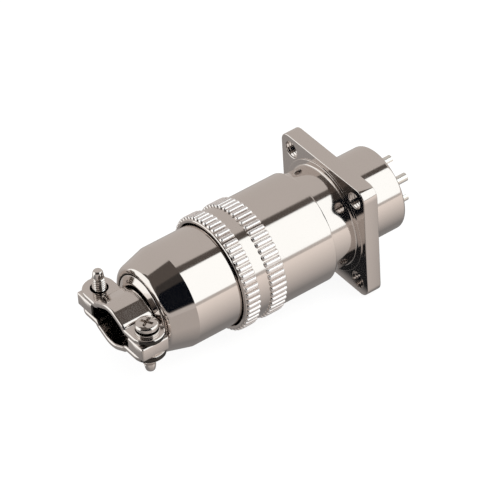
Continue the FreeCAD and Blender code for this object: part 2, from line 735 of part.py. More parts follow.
def saddle(label, upwards):
    """Stamped saddle: a crowned bridge on two straight legs, with a rounded ear on each side."""
    body = new_body(label)
    sketch = new_sketch(body, "YZ_Plane", "BridgeOutline", offset=CABLE_END)
    reach = f"({SCREW_OFFSET} + Sizes.saddle_length / 2)"
    slope = "tan(Sizes.saddle_leg_degrees * 1 deg)"
    foot_below = f"({SADDLE_FOOT} + Sizes.saddle_thickness * tan(Sizes.saddle_leg_degrees * 0.5 deg))"
    crown_outside = f"{EAR_FACE} + {SADDLE_FOOT} * {slope}"
    crown_inside = f"{EAR_SEAT} + {foot_below} * {slope}"
    closed_outline(sketch, [
        (reach, EAR_FACE),
        (SADDLE_FOOT, EAR_FACE),
        ("0", crown_outside),
        (f"-{SADDLE_FOOT}", EAR_FACE),
        (f"-{reach}", EAR_FACE),
        (f"-{reach}", EAR_SEAT),
        (f"-{foot_below}", EAR_SEAT),
        ("0", crown_inside),
        (foot_below, EAR_SEAT),
        (reach, EAR_SEAT),
    ])
    shape = prism(body, "Strip", sketch, "Sizes.saddle_length")

    def bend_at(offset, height):
        """Picks the bend lines at one offset from the middle and one height."""
        def test(edge, middle, direction):
            lengthwise = abs(direction.x) > abs(direction.y) + abs(direction.z)
            at_offset = abs(abs(middle.y) - value(offset)) < HIDDEN_LINE_END
            return lengthwise and at_offset and abs(middle.z - value(height)) < HIDDEN_LINE_END
        return test

    bend = "Sizes.saddle_bend_radius"
    crown = "Sizes.saddle_crown_radius"
    thickness = "Sizes.saddle_thickness"
    shape = rounded(body, "CrownOutside", shape, bend_at("0", crown_outside), f"{crown} + {thickness}")
    shape = rounded(body, "CrownInside", shape, bend_at("0", crown_inside), crown)
    shape = rounded(body, "FeetOutside", shape, bend_at(SADDLE_FOOT, EAR_FACE), bend)
    shape = rounded(body, "FeetInside", shape, bend_at(foot_below, EAR_SEAT), f"{bend} + {thickness}")

    def is_ear_corner(edge, middle, direction):
        upright = abs(direction.z) > abs(direction.x) + abs(direction.y)
        return upright and abs(middle.y) > value(SCREW_OFFSET)

    rounded(body, "Ears", shape, is_ear_corner, "(Sizes.saddle_length - Sizes.saddle_ear_flat) / 2")
    hole_sketch = new_sketch(body, "XY_Plane", "EarHoleOutline")
    for side in ("", "-"):
        circle(hole_sketch, SCREW_LINE, f"{side}{SCREW_OFFSET}", SCREW_HOLE_RADIUS)
    prism(body, "EarHoles", hole_sketch, f"{EAR_FACE} * 3", kind="Pocket", both_ways=True)
    if not upwards:
        body.Placement.Rotation = Rotation(Vector(1, 0, 0), 180)


def clamp_screws():
    """Two like pan-head screws with cross recesses, one from above and one from below."""
    body = new_body("clamp_screws")
    shank = "Sizes.screw_diameter / 2"
    point = "Sizes.screw_point_diameter / 2"
    head = "Sizes.screw_head_diameter / 2"
    side = f"-{SCREW_OFFSET}"
    tip = f"({HEAD_SEAT} - Sizes.screw_length)"
    head_top = f"({HEAD_SEAT} + Sizes.screw_head_height)"
    chamfer = "Sizes.screw_tip_chamfer"
    sketch = new_sketch(body, "XZ_Plane", "ScrewProfile", offset=SCREW_OFFSET)
    middle = SCREW_LINE
    closed_outline(sketch, [
        (middle, tip),
        (f"{middle} + {point} - {chamfer}", tip),
        (f"{middle} + {point}", f"{tip} + {chamfer}"),
        (f"{middle} + {point}", f"{tip} + Sizes.screw_point_length"),
        (f"{middle} + {shank}", f"{tip} + Sizes.screw_point_length + {chamfer}"),
        (f"{middle} + {shank}", HEAD_SEAT),
        (f"{middle} + {head}", HEAD_SEAT),
        (f"{middle} + {head}", f"{head_top} - Sizes.screw_head_height * 0.45"),
        (f"{middle} + {head} * 0.92", f"{head_top} - Sizes.screw_head_height * 0.2"),
        (f"{middle} + {head} * 0.7", head_top),
        (middle, head_top),
    ])
    turning = body.newObject("PartDesign::Revolution", "Turning")
    turning.Profile = sketch
    turning.ReferenceAxis = (sketch, ["Edge11"])
    turning.Angle = 360.0
    features = [turning]
    half_width = "Sizes.screw_recess_width / 2"
    half_length = "Sizes.screw_recess_length / 2"
    for name, across, along in (("RecessAlong", half_length, half_width),
                                ("RecessAcross", half_width, half_length)):
        slot = new_sketch(body, "XY_Plane", name + "Outline", offset=f"{head_top} + 1")
        closed_outline(slot, rectangle(
            f"{middle} - {across}", f"{side} - {along}", f"{middle} + {across}", f"{side} + {along}"))
        features.append(prism(body, name, slot, "Sizes.screw_recess_depth + 1", kind="Pocket"))
    round_pattern(body, "Screws", features, 2)


def clamp_washers():
    """A flat washer under each screw head."""
    body = new_body("clamp_washers")
    sketch = new_sketch(body, "XY_Plane", "WasherOutline", offset=EAR_FACE)
    for radius in ("Sizes.washer_diameter / 2", SCREW_HOLE_RADIUS):
        circle(sketch, SCREW_LINE, f"-{SCREW_OFFSET}", radius)
    washer = prism(body, "Washer", sketch, "Sizes.washer_thickness")
    round_pattern(body, "Washers", [washer], 2)


def check_document():
    """Stop if any object failed or any piece has no sound shape."""
    document.recompute()
    for item in document.Objects:
        if "Invalid" in item.State or "Error" in item.State:
            raise RuntimeError(f"{item.Name} is {item.State}")
    pieces = [item for item in document.Objects if item.TypeId == "PartDesign::Body"]
    for piece in pieces:
        if piece.Shape.isNull() or not piece.Shape.isValid():
            raise RuntimeError(f"{piece.Label} has no sound shape")
    return pieces


def write_pieces(pieces):
    """Write each piece to a file of its own."""
    os.makedirs("parts", exist_ok=True)
    for piece in pieces:
        piece.Shape.exportStep(f"parts/{piece.Label}.step")
        print(piece.Label, len(piece.Shape.Solids), round(piece.Shape.Volume, 3))


receptacle_shell()
receptacle_insulator()
receptacle_ring()
plug_shell()
latch_collet()
locking_sleeve()
return_spring()
spring_washer()
plug_insulator()
plug_ring()
back_shell()
clamp_ring()
clamp_body()
saddle("saddle_upper", True)
saddle("saddle_lower", False)
clamp_screws()
clamp_washers()
for contact_number in range(1, CONTACT_COUNT + 1):
    contact_pin(contact_number)
    contact_socket(contact_number)

write_pieces(check_document())
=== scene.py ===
import json
from collections import namedtuple
from math import atan2, cos, floor, hypot, pi, radians, sin, sqrt, tan, tau

import bmesh
import bpy
from mathutils import Matrix, Vector


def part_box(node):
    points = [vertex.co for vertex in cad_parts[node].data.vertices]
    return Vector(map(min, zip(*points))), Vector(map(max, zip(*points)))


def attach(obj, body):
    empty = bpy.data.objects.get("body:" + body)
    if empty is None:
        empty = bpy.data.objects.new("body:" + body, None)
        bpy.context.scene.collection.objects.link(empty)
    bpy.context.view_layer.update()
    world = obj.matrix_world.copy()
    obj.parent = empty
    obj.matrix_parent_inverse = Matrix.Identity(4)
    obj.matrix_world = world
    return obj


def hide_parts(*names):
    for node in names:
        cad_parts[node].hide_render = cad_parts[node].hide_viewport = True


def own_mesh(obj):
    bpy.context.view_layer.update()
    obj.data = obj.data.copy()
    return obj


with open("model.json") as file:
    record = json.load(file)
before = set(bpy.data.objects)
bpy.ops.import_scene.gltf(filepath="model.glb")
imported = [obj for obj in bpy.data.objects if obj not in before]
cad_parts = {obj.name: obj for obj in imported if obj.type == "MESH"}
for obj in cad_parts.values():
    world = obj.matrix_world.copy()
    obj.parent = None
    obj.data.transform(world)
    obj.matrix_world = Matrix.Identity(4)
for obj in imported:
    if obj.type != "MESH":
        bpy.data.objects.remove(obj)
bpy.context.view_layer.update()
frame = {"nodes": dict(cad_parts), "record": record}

bl_info = {
    "name": "Aviation Plug Connector",
    "version": (1, 0, 0),
    "blender": (4, 5, 0),
    "location": "View3D > Sidebar > Connector",
    "description": "Dresses a mated circular connector: flange shell, knurled sleeve, bell and cable clamp",
    "category": "Object",
}

# Metres in a millimetre: properties and meshes hold metres, profiles are drawn in millimetres
MM = 0.001

# Metres within which two points count as one
TINY = 1e-6

# Millimetres from the end of a rounded edge to the point that holds the flat beside it
SUPPORT = 0.04

# Corners round a hole
HOLE_STEPS = 40

# How far the clamp screws stand from the axis, and the radius of the holes for them, in millimetres
SCREW_OFFSET = 7.2
SCREW_HOLE = 1.35


def length(name, description, millimetres):
    """A length that shows in the sidebar."""
    return bpy.props.FloatProperty(
        name=name,
        description=description,
        default=millimetres * MM,
        min=0.0,
        precision=5,
        subtype="DISTANCE",
        unit="LENGTH",
    )


def slant(name, description, degrees):
    """A slope that shows in the sidebar."""
    return bpy.props.FloatProperty(
        name=name,
        description=description,
        default=radians(degrees),
        min=0.1,
        max=1.2,
        subtype="ANGLE",
    )


def colour(name, description, default):
    """A surface colour that shows in the sidebar."""
    return bpy.props.FloatVectorProperty(
        name=name,
        description=description,
        default=default,
        min=0.0,
        max=1.0,
        size=3,
        subtype="COLOR",
    )


class ReceptacleSizes(bpy.types.PropertyGroup):
    flange_side: length("Flange side", "Side of the square flange", 24.0)
    flange_thickness: length("Flange thickness", "Thickness of the flange", 3.0)
    corner_radius: length("Corner radius", "Radius of the flange's corners", 2.2)
    hole_pitch: length("Hole pitch", "Distance between mounting holes", 18.3)
    hole_radius: length("Hole radius", "Radius of a mounting hole", 1.6)
    boss_radius: length("Boss radius", "Radius of the boss in front of the flange", 9.65)
    boss_length: length("Boss length", "How far the boss stands out", 5.0)
    barrel_radius: length("Barrel radius", "Radius of the rear barrel", 8.1)
    barrel_length: length("Barrel length", "Length of the rear barrel", 9.1)
    edge: length("Edge", "Break on the flange's edges", 0.14)


class SleeveSizes(bpy.types.PropertyGroup):
    radius: length("Sleeve radius", "Radius between the knurled bands", 10.55)
    knurl_radius: length("Knurl radius", "Radius over the ridges", 11.05)
    groove_width: length("Groove width", "Width of the groove between two ridges", 0.3)
    shoulder: length("Shoulder", "Rounding along each ridge", 0.36)
    ridge_count: bpy.props.IntProperty(
        name="Ridges", description="Ridges round each band", default=54, min=12, max=120
    )


class BackShellSizes(bpy.types.PropertyGroup):
    radius: length("Bell radius", "Radius of the bell's cylinder", 9.62)
    end_radius: length("End radius", "Radius of the cone's cable end", 8.2)
    end_round: length("End round", "Rounding of the cable end", 1.1)
    opening_radius: length("Opening radius", "Radius of the opening round the neck", 6.86)


class ClampSizes(bpy.types.PropertyGroup):
    lug_thickness: length("Lug thickness", "Height of each lug", 2.7)
    lug_edge: length("Lug edge", "Rounding of the lugs' edges", 0.28)
    saddle_thickness: length("Saddle thickness", "Thickness of the saddle strip", 1.15)
    saddle_rise: length("Saddle rise", "Height of the crown over the ears, underneath", 2.05)
    saddle_leg: length("Saddle leg", "Length of a sloping leg", 2.2)
    saddle_shoulder: length("Saddle shoulder", "Inner radius where a leg turns down", 0.2)
    saddle_slope: slant("Saddle slope", "Slope of a saddle's legs", 26)
    saddle_step: slant("Saddle step", "Slope of the short step at the foot of a leg", 52)
    saddle_crown: length("Saddle crown", "Inner radius of a saddle's crown", 3.3)
    saddle_bend: length("Saddle bend", "Radius under the foot of the step", 1.45)
    saddle_edge: length("Saddle edge", "Rounding of the saddles' edges", 0.32)
    bridge_extra: length("Bridge extra", "How much longer the bridge is than the ears", 0.28)
    thread_pitch: length("Thread pitch", "Pitch of the clamp screws", 0.45)
    screw_radius: length("Screw radius", "Radius over a screw's thread", 1.25)
    head_radius: length("Head radius", "Radius of a screw's pan head", 2.05)
    head_height: length("Head height", "Height of a screw's pan head", 1.5)
    washer_radius: length("Washer radius", "Outer radius of a washer", 2.25)
    washer_thickness: length("Washer thickness", "Thickness of a washer", 0.5)


class FinishColours(bpy.types.PropertyGroup):
    nickel: colour("Nickel", "Warm bright nickel plate", (0.73, 0.68, 0.65))
    crest: colour("Knurl crest", "Pale matt crests of the knurl", (0.93, 0.90, 0.895))
    # Painted shade: a dark tint on the faces inside the bell and the clamp, where shade falls
    painted_bore_shade: colour("Cable way", "Painted shade inside the bell and the clamp", (0.07, 0.065, 0.06))
    screw_nickel: colour("Screw nickel", "Nickel on the screws", (0.74, 0.70, 0.67))
    contact: colour("Contact", "Silver plate on the contacts", (0.88, 0.86, 0.82))
    bronze: colour("Bronze", "Phosphor bronze of the collet", (0.70, 0.52, 0.30))
    steel: colour("Spring steel", "Steel of the spring", (0.56, 0.55, 0.54))
    plastic: colour("Plastic", "Black moulding", (0.018, 0.018, 0.019))


# Shader building

FLOAT = "NodeSocketFloat"
COLOUR = "NodeSocketColor"


def calculate(tree, operation, *inputs):
    """The result of a Math node fed with sockets or with plain numbers."""
    node = tree.nodes.new("ShaderNodeMath")
    node.operation = operation
    for socket, value in zip(node.inputs, inputs):
        if isinstance(value, float):
            socket.default_value = value
        else:
            tree.links.new(value, socket)
    return node.outputs[0]


def ramp(tree, value, start, end, interpolation="LINEAR"):
    """0 to 1 as a value goes from one limit to another."""
    node = tree.nodes.new("ShaderNodeMapRange")
    node.interpolation_type = interpolation
    node.inputs["From Min"].default_value = start
    node.inputs["From Max"].default_value = end
    tree.links.new(value, node.inputs["Value"])
    return node.outputs["Result"]


def between(tree, value, low, high):
    """1 between two limits of a value, with soft ends given as (outside, inside) pairs."""
    rise = ramp(tree, value, *low, "SMOOTHSTEP")
    fall = ramp(tree, value, *high, "SMOOTHSTEP")
    return calculate(tree, "MULTIPLY", rise, fall)


def mixed(tree, mask, below, above):
    """Two colours, each a tint or a socket, mixed by a mask."""
    node = tree.nodes.new("ShaderNodeMix")
    node.data_type = "RGBA"
    for label, value in (("A", below), ("B", above)):
        if isinstance(value, tuple):
            node.inputs[label].default_value = (*value, 1.0)
        else:
            tree.links.new(value, node.inputs[label])
    tree.links.new(mask, node.inputs["Factor"])
    return node.outputs["Result"]


def clouds(tree, scale, detail):
    """Soft noise on a piece's own coordinates."""
    where = tree.nodes.new("ShaderNodeTexCoord")
    node = tree.nodes.new("ShaderNodeTexNoise")
    node.inputs["Scale"].default_value = scale
    node.inputs["Detail"].default_value = detail
    tree.links.new(where.outputs["Object"], node.inputs["Vector"])
    return node.outputs["Fac"]


def axes(tree, node_type, output):
    """The X, Y and Z parts of what a node puts out."""
    source = tree.nodes.new(node_type)
    split = tree.nodes.new("ShaderNodeSeparateXYZ")
    tree.links.new(source.outputs[output], split.inputs[0])
    return split.outputs


def new_group(name, inputs, outputs):
    """An empty node group, with the nodes that hold its inputs and its outputs."""
    group = bpy.data.node_groups.new(name, "ShaderNodeTree")
    for label, kind in inputs.items():
        group.interface.new_socket(name=label, in_out="INPUT", socket_type=kind)
    for label, kind in outputs.items():
        group.interface.new_socket(name=label, in_out="OUTPUT", socket_type=kind)
    return group, group.nodes.new("NodeGroupInput"), group.nodes.new("NodeGroupOutput")


def turning_marks_group():
    """Rings left by the turning tool, which run round the X axis."""
    group, entry, leave = new_group(
        "Turning Marks",
        {"Rings per mm": FLOAT, "Roughness": FLOAT, "Variation": FLOAT},
        {"Height": FLOAT, "Roughness": FLOAT},
    )
    where = axes(group, "ShaderNodeTexCoord", "Object")
    millimetres = calculate(group, "MULTIPLY", where["X"], 1 / MM)
    rings = group.nodes.new("ShaderNodeTexNoise")
    rings.noise_dimensions = "1D"
    rings.inputs["Scale"].default_value = 1.0
    rings.inputs["Detail"].default_value = 3.0
    rings.inputs["Roughness"].default_value = 0.6
    count = calculate(group, "MULTIPLY", millimetres, entry.outputs["Rings per mm"])
    group.links.new(count, rings.inputs["W"])
    both = calculate(group, "ADD", rings.outputs["Fac"], clouds(group, 260.0, 4.0))
    centred = calculate(group, "SUBTRACT", both, 1.0)
    varied = calculate(group, "MULTIPLY", centred, entry.outputs["Variation"])
    rough = calculate(group, "ADD", varied, entry.outputs["Roughness"])
    group.links.new(rings.outputs["Fac"], leave.inputs["Height"])
    group.links.new(rough, leave.inputs["Roughness"])


def cloudy_plate_group():
    """Plate whose colour drifts softly between two tints."""
    group, entry, leave = new_group(
        "Cloudy Plate",
        {"Darker": COLOUR, "Lighter": COLOUR},
        {"Color": COLOUR},
    )
    drift = mixed(group, clouds(group, 90.0, 5.0), entry.outputs["Darker"], entry.outputs["Lighter"])
    group.links.new(drift, leave.inputs["Color"])


def moulded_skin_group():
    """Moulded plastic: a fine grain, and a colour and gloss that drift softly."""
    group, entry, leave = new_group(
        "Moulded Skin",
        {"Darker": COLOUR, "Lighter": COLOUR, "Roughness": FLOAT, "Variation": FLOAT},
        {"Color": COLOUR, "Roughness": FLOAT, "Height": FLOAT},
    )
    cloud = clouds(group, 300.0, 2.0)
    drift = mixed(group, cloud, entry.outputs["Darker"], entry.outputs["Lighter"])
    centred = calculate(group, "MULTIPLY_ADD", cloud, 2.0, -1.0)
    varied = calculate(group, "MULTIPLY", centred, entry.outputs["Variation"])
    rough = calculate(group, "ADD", varied, entry.outputs["Roughness"])
    group.links.new(drift, leave.inputs["Color"])
    group.links.new(rough, leave.inputs["Roughness"])
    group.links.new(clouds(group, 2600.0, 3.0), leave.inputs["Height"])


def place_group(tree, name, values):
    """The outputs of a shared effect, placed in a material with its own values."""
    node = tree.nodes.new("ShaderNodeGroup")
    node.node_tree = bpy.data.node_groups[name]
    for label, value in values.items():
        node.inputs[label].default_value = value
    return node.outputs


def new_material(name):
    """A new material's node tree and its main shader."""
    material = bpy.data.materials.new(name)
    material.use_nodes = True
    tree = material.node_tree
    return tree, tree.nodes["Principled BSDF"]


def tinted(base, factor):
    """A colour made darker or lighter, as a socket takes it."""
    return (*[min(1.0, factor * channel) for channel in base], 1.0)


def raise_surface(tree, shader, height, strength, distance):
    """Bump a material by a height; the distance is in millimetres."""
    bump = tree.nodes.new("ShaderNodeBump")
    bump.inputs["Strength"].default_value = strength
    bump.inputs["Distance"].default_value = distance * MM
    tree.links.new(height, bump.inputs["Height"])
    tree.links.new(bump.outputs["Normal"], shader.inputs["Normal"])


def crest_mask(tree, radius):
    """1 on whatever stands further from the X axis than a radius."""
    where = tree.nodes.new("ShaderNodeTexCoord")
    flat = tree.nodes.new("ShaderNodeVectorMath")
    flat.operation = "MULTIPLY"
    flat.inputs[1].default_value = (0.0, 1.0, 1.0)
    tree.links.new(where.outputs["Object"], flat.inputs[0])
    reach = tree.nodes.new("ShaderNodeVectorMath")
    reach.operation = "LENGTH"
    tree.links.new(flat.outputs["Vector"], reach.inputs[0])
    return ramp(tree, reach.outputs["Value"], radius + 0.1 * MM, radius + 0.3 * MM)


def plated(name, base, roughness, rings, depth, crests=None, bore=None):
    """Plated metal with turning marks; crests is (radius, tint) of pale matt ridges, bore the tint of painted
    shade inside the bore.
    """
    tree, shader = new_material(name)
    shader.inputs["Metallic"].default_value = 1.0
    marks = place_group(tree, "Turning Marks", {
        "Rings per mm": rings,
        "Roughness": roughness,
        "Variation": 0.05,
    })
    plate = place_group(tree, "Cloudy Plate", {
        "Darker": tinted(base, 0.97),
        "Lighter": tinted(base, 1.03),
    })
    tint = plate["Color"]
    gloss = marks["Roughness"]
    if crests is not None:
        radius, pale = crests
        mask = crest_mask(tree, radius)
        tint = mixed(tree, mask, tint, pale)
        gloss = calculate(tree, "MULTIPLY_ADD", mask, 0.2, gloss)
    # Painted shade: faces inside the bore take the dark bore tint
    if bore is not None:
        inside = tree.nodes.new("ShaderNodeAttribute")
        inside.attribute_name = "inside"
        tint = mixed(tree, inside.outputs["Fac"], tint, bore)
    tree.links.new(tint, shader.inputs["Base Color"])
    tree.links.new(gloss, shader.inputs["Roughness"])
    raise_surface(tree, shader, marks["Height"], 1.0, depth)


def moulded(name, base, roughness, grain):
    """Moulded plastic with a fine grain."""
    tree, shader = new_material(name)
    skin = place_group(tree, "Moulded Skin", {
        "Darker": tinted(base, 1.0),
        "Lighter": tinted(base, 1.6),
        "Roughness": roughness,
        "Variation": 0.08,
    })
    tree.links.new(skin["Color"], shader.inputs["Base Color"])
    tree.links.new(skin["Roughness"], shader.inputs["Roughness"])
    raise_surface(tree, shader, skin["Height"], grain, 0.02)


# Mesh building

# A face counts as inside a bore where at least this share of its normal points at the axis
INWARD = 0.45

# Edges that turn by more than this stay sharp
SHARP_ANGLE = radians(32)


def new_object(bm, name):
    """An object in the scene with a bmesh's faces."""
    mesh = bpy.data.meshes.new(name)
    bm.to_mesh(mesh)
    bm.free()
    made = bpy.data.objects.new(name, mesh)
    bpy.context.scene.collection.objects.link(made)
    return made


def finish_piece(bm, name, body, slot, material, *nodes):
    """Turn a bmesh into a smooth-shaded piece that stands for its CAD nodes."""
    bmesh.ops.recalc_face_normals(bm, faces=bm.faces)
    if bm.calc_volume(signed=True) < 0:
        bmesh.ops.reverse_faces(bm, faces=bm.faces)
    # Marks the faces inside a bore, which the materials darken with painted shade
    inside = bm.faces.layers.float.new("inside")
    for face in bm.faces:
        middle = face.calc_center_median()
        outward = Vector((0.0, middle.y, middle.z)).normalized()
        face[inside] = 1.0 if outward.dot(face.normal) < -INWARD else 0.0
    piece = new_object(bm, name)
    piece.data.shade_smooth()
    piece.data.set_sharp_from_angle(angle=SHARP_ANGLE)
    piece.data.materials.append(bpy.data.materials[material])
    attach(piece, body)
    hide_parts(*nodes)
    return piece


def rounded_outline(points, segments, support=0.0):
    """Corner points of (across, up, radius), each round drawn as an arc with a support point by each end."""
    outline = []
    count = len(points)
    for index, (across, up, radius) in enumerate(points):
        here = Vector((across, up))
        if radius <= 0:
            outline.append(here)
            continue
        before = (Vector(points[index - 1][:2]) - here).normalized()
        after = (Vector(points[(index + 1) % count][:2]) - here).normalized()
        half = before.angle(after) / 2
        reach = radius / tan(half)
        middle = here + (before + after).normalized() * radius / sin(half)
        first = (here + before * reach - middle).normalized()
        last = (here + after * reach - middle).normalized()
        if support:
            outline.append(here + before * (reach + support))
        for step in range(segments + 1):
            outline.append(middle + first.slerp(last, step / segments) * radius)
        if support:
            outline.append(here + after * (reach + support))
    return outline


def spin(bm, drawn, axis, steps, angle=tau, advance=(0, 0, 0)):
    """Spin what is drawn about an axis through the origin; with an advance for each step, it winds."""
    bmesh.ops.spin(
        bm,
        geom=drawn,
        cent=(0, 0, 0),
        axis=axis,
        dvec=advance,
        angle=angle,
        steps=steps,
        use_merge=not any(advance),
    )


def turn(bm, profile, steps=192):
    """Spin a closed profile of (x, radius, edge round) in millimetres about the X axis."""
    points = rounded_outline(profile, 5, SUPPORT)
    corners = [bm.verts.new((point.x * MM, 0, point.y * MM)) for point in points]
    outline = [bm.edges.new(pair) for pair in zip(corners, corners[1:] + corners[:1])]
    spin(bm, corners + outline, (1, 0, 0), steps)


def spin_up(bm, profile, steps):
    """Spin an open profile of (height, radius) in millimetres about the Z axis."""
    verts = [bm.verts.new((radius * MM, 0, height * MM)) for height, radius in profile]
    edges = [bm.edges.new(pair) for pair in zip(verts, verts[1:])]
    spin(bm, verts + edges, (0, 0, 1), steps)


def loop(bm, points, level):
    """A closed loop of edges at one level."""
    verts = [bm.verts.new((point.x * MM, point.y * MM, level * MM)) for point in points]
    return [bm.edges.new(pair) for pair in zip(verts, verts[1:] + verts[:1])]


def circle_points(across, up, radius, count=HOLE_STEPS):
    """Points round a circle."""
    return [
        Vector((across + radius * cos(tau * step / count), up + radius * sin(tau * step / count)))
        for step in range(count)
    ]


def pierced_plate(bm, outline, holes, low, high, edge, steps=3):
    """A plate with rounded rims, from outline(inset) and holes of (across, up, radius)."""
    levels = [(edge + SUPPORT, 0.0)]
    for step in range(steps + 1):
        turned = pi / 2 * step / steps
        levels.append((edge * (1 - sin(turned)), edge * (1 - cos(turned))))
    upper_levels = [(inset, high - height) for inset, height in reversed(levels)]
    levels = [(inset, low + height) for inset, height in levels] + upper_levels
    rims = [[loop(bm, outline(inset), level) for inset, level in levels]]
    for across, up, radius in holes:
        rims.append([loop(bm, circle_points(across, up, radius + inset), level) for inset, level in levels])
    for rim in rims:
        for lower, upper in zip(rim, rim[1:]):
            bmesh.ops.bridge_loops(bm, edges=lower + upper)
    for end in (0, -1):
        around = [rim_edge for rim in rims for rim_edge in rim[end]]
        bmesh.ops.triangle_fill(bm, edges=around, use_beauty=True, normal=(0, 0, 1))


def hole_thread(radius, low, high):
    """A ring of V-shaped ridges that lines a mounting hole on the Z axis."""
    pitch = 0.5
    depth = 0.22
    wall = 0.08
    profile = [(low, radius + wall), (high, radius + wall), (high, radius)]
    for ridge in range(round((high - low) / pitch)):
        top = high - ridge * pitch
        profile += [(top - 0.5 * pitch, radius - depth), (top - pitch, radius)]
    profile.append(profile[0])
    ring = bmesh.new()
    spin_up(ring, profile, HOLE_STEPS)
    bmesh.ops.remove_doubles(ring, verts=ring.verts, dist=TINY)
    return ring


def stand_on_x(bm):
    """Turn what was drawn in XY, with its thickness along Z, to stand across the X axis."""
    turned_axes = Matrix(((0, 0, 1), (1, 0, 0), (0, 1, 0))).to_4x4()
    bmesh.ops.transform(bm, matrix=turned_axes, verts=bm.verts)


def join(bm, other, matrix=None):
    """Add a second bmesh to the first."""
    if matrix is not None:
        bmesh.ops.transform(other, matrix=matrix, verts=other.verts)
    bmesh.ops.recalc_face_normals(other, faces=other.faces)
    carrier = bpy.data.meshes.new("carrier")
    other.to_mesh(carrier)
    other.free()
    bm.from_mesh(carrier)
    bpy.data.meshes.remove(carrier)


# Pieces


class PLUG_OT_finishes(bpy.types.Operator):
    """Make the materials and give each CAD node its own finish"""

    bl_idname = "plug.finishes"
    bl_label = "Finishes"

    def execute(self, context):
        tints = context.scene.plug_finishes
        turning_marks_group()
        cloudy_plate_group()
        moulded_skin_group()
        nickel = tuple(tints.nickel)
        # Painted shade for the faces inside the bell, the clamp and the saddles
        dark = tuple(tints.painted_bore_shade)
        plastic = tuple(tints.plastic)
        crests = (context.scene.plug_sleeve.radius, tuple(tints.crest))
        plated("Receptacle nickel", nickel, 0.09, 3.0, 0.0006)
        plated("Sleeve nickel", nickel, 0.09, 3.0, 0.0006, crests=crests)
        plated("Bell nickel", nickel, 0.08, 5.0, 0.0014, bore=dark)
        plated("Inner nickel", nickel, 0.22, 5.0, 0.0015)
        plated("Clamp nickel", nickel, 0.1, 1.0, 0.0008, bore=dark)
        plated("Saddle nickel", nickel, 0.1, 1.0, 0.0008, bore=dark)
        plated("Screw nickel", tuple(tints.screw_nickel), 0.12, 2.0, 0.001)
        plated("Contact silver", tuple(tints.contact), 0.24, 6.0, 0.001)
        plated("Spring bronze", tuple(tints.bronze), 0.25, 3.0, 0.001)
        plated("Spring steel", tuple(tints.steel), 0.3, 8.0, 0.001)
        moulded("Insulator plastic", plastic, 0.42, 0.4)
        moulded("Ring plastic", plastic, 0.5, 0.5)
        by_slot = {
            "shell_nickel": "Receptacle nickel",
            "sleeve_nickel": "Sleeve nickel",
            "bell_nickel": "Bell nickel",
            "inner_nickel": "Inner nickel",
            "clamp_nickel": "Clamp nickel",
            "saddle_nickel": "Saddle nickel",
            "screw_nickel": "Screw nickel",
            "contact_metal": "Contact silver",
            "spring_brass": "Spring bronze",
            "spring_steel": "Spring steel",
            "insulator_plastic": "Insulator plastic",
            "ring_plastic": "Ring plastic",
        }
        for part in frame["record"]["subparts"]:
            node = frame["nodes"][part["node"]]
            node.data.materials.clear()
            node.data.materials.append(bpy.data.materials[by_slot[part["material_slot"]]])
        return {"FINISHED"}


class PLUG_OT_receptacle_shell(bpy.types.Operator):
    """Turn the receptacle's boss, nipple and barrel, and mill its square flange"""

    bl_idname = "plug.receptacle_shell"
    bl_label = "Receptacle shell"

    def execute(self, context):
        sizes = context.scene.plug_receptacle
        thickness = sizes.flange_thickness / MM
        boss = sizes.boss_radius / MM
        barrel = sizes.barrel_radius / MM
        front = -sizes.boss_length / MM
        rear = (sizes.flange_thickness + sizes.barrel_length) / MM
        middle = thickness / 2
        nipple = 8.0
        tip = front - 6.5
        groove = 7.25
        groove_start, groove_end = tip + 2.5, tip + 3.7
        front_bore, rear_bore, bore_step = 6.6, 7.0, -3.0
        ring, ring_face = boss + 1.25, -0.2
        bm = bmesh.new()
        turn(bm, [
            (tip, front_bore, 0.1),
            (tip, nipple, 0.28),
            (groove_start, nipple, 0.05),
            (groove_start, groove, 0.0),
            (groove_end, groove, 0.0),
            (groove_end, nipple, 0.05),
            (front, nipple, 0.0),
            (front, boss, 0.16),
            (ring_face, boss, 0.3),
            (ring_face, ring, 0.08),
            (middle, ring, 0.0),
            (middle, barrel, 0.0),
            (rear, barrel, 0.55),
            (rear, rear_bore, 0.1),
            (bore_step, rear_bore, 0.0),
            (bore_step, front_bore, 0.0),
        ])
        half = sizes.flange_side / MM / 2
        corner = sizes.corner_radius / MM

        def square(inset):
            reach = half - inset
            corners = [(-reach, -reach), (reach, -reach), (reach, reach), (-reach, reach)]
            return rounded_outline([(across, up, corner - inset) for across, up in corners], 12)

        pitch = sizes.hole_pitch / MM / 2
        hole = sizes.hole_radius / MM
        mounting_holes = [(across, up, hole) for across in (-pitch, pitch) for up in (-pitch, pitch)]
        hole_round_barrel = (0.0, 0.0, 7.6)
        plate = bmesh.new()
        pierced_plate(plate, square, mounting_holes + [hole_round_barrel], 0.0, thickness, sizes.edge / MM)
        margin = 0.25
        for across, up, radius in mounting_holes:
            thread = hole_thread(radius, margin, thickness - margin)
            join(plate, thread, Matrix.Translation((across * MM, up * MM, 0)))
        stand_on_x(plate)
        join(bm, plate)
        finish_piece(
            bm,
            "receptacle_shell_turned",
            "receptacle",
            "shell_nickel",
            "Receptacle nickel",
            "receptacle_shell",
        )
        return {"FINISHED"}


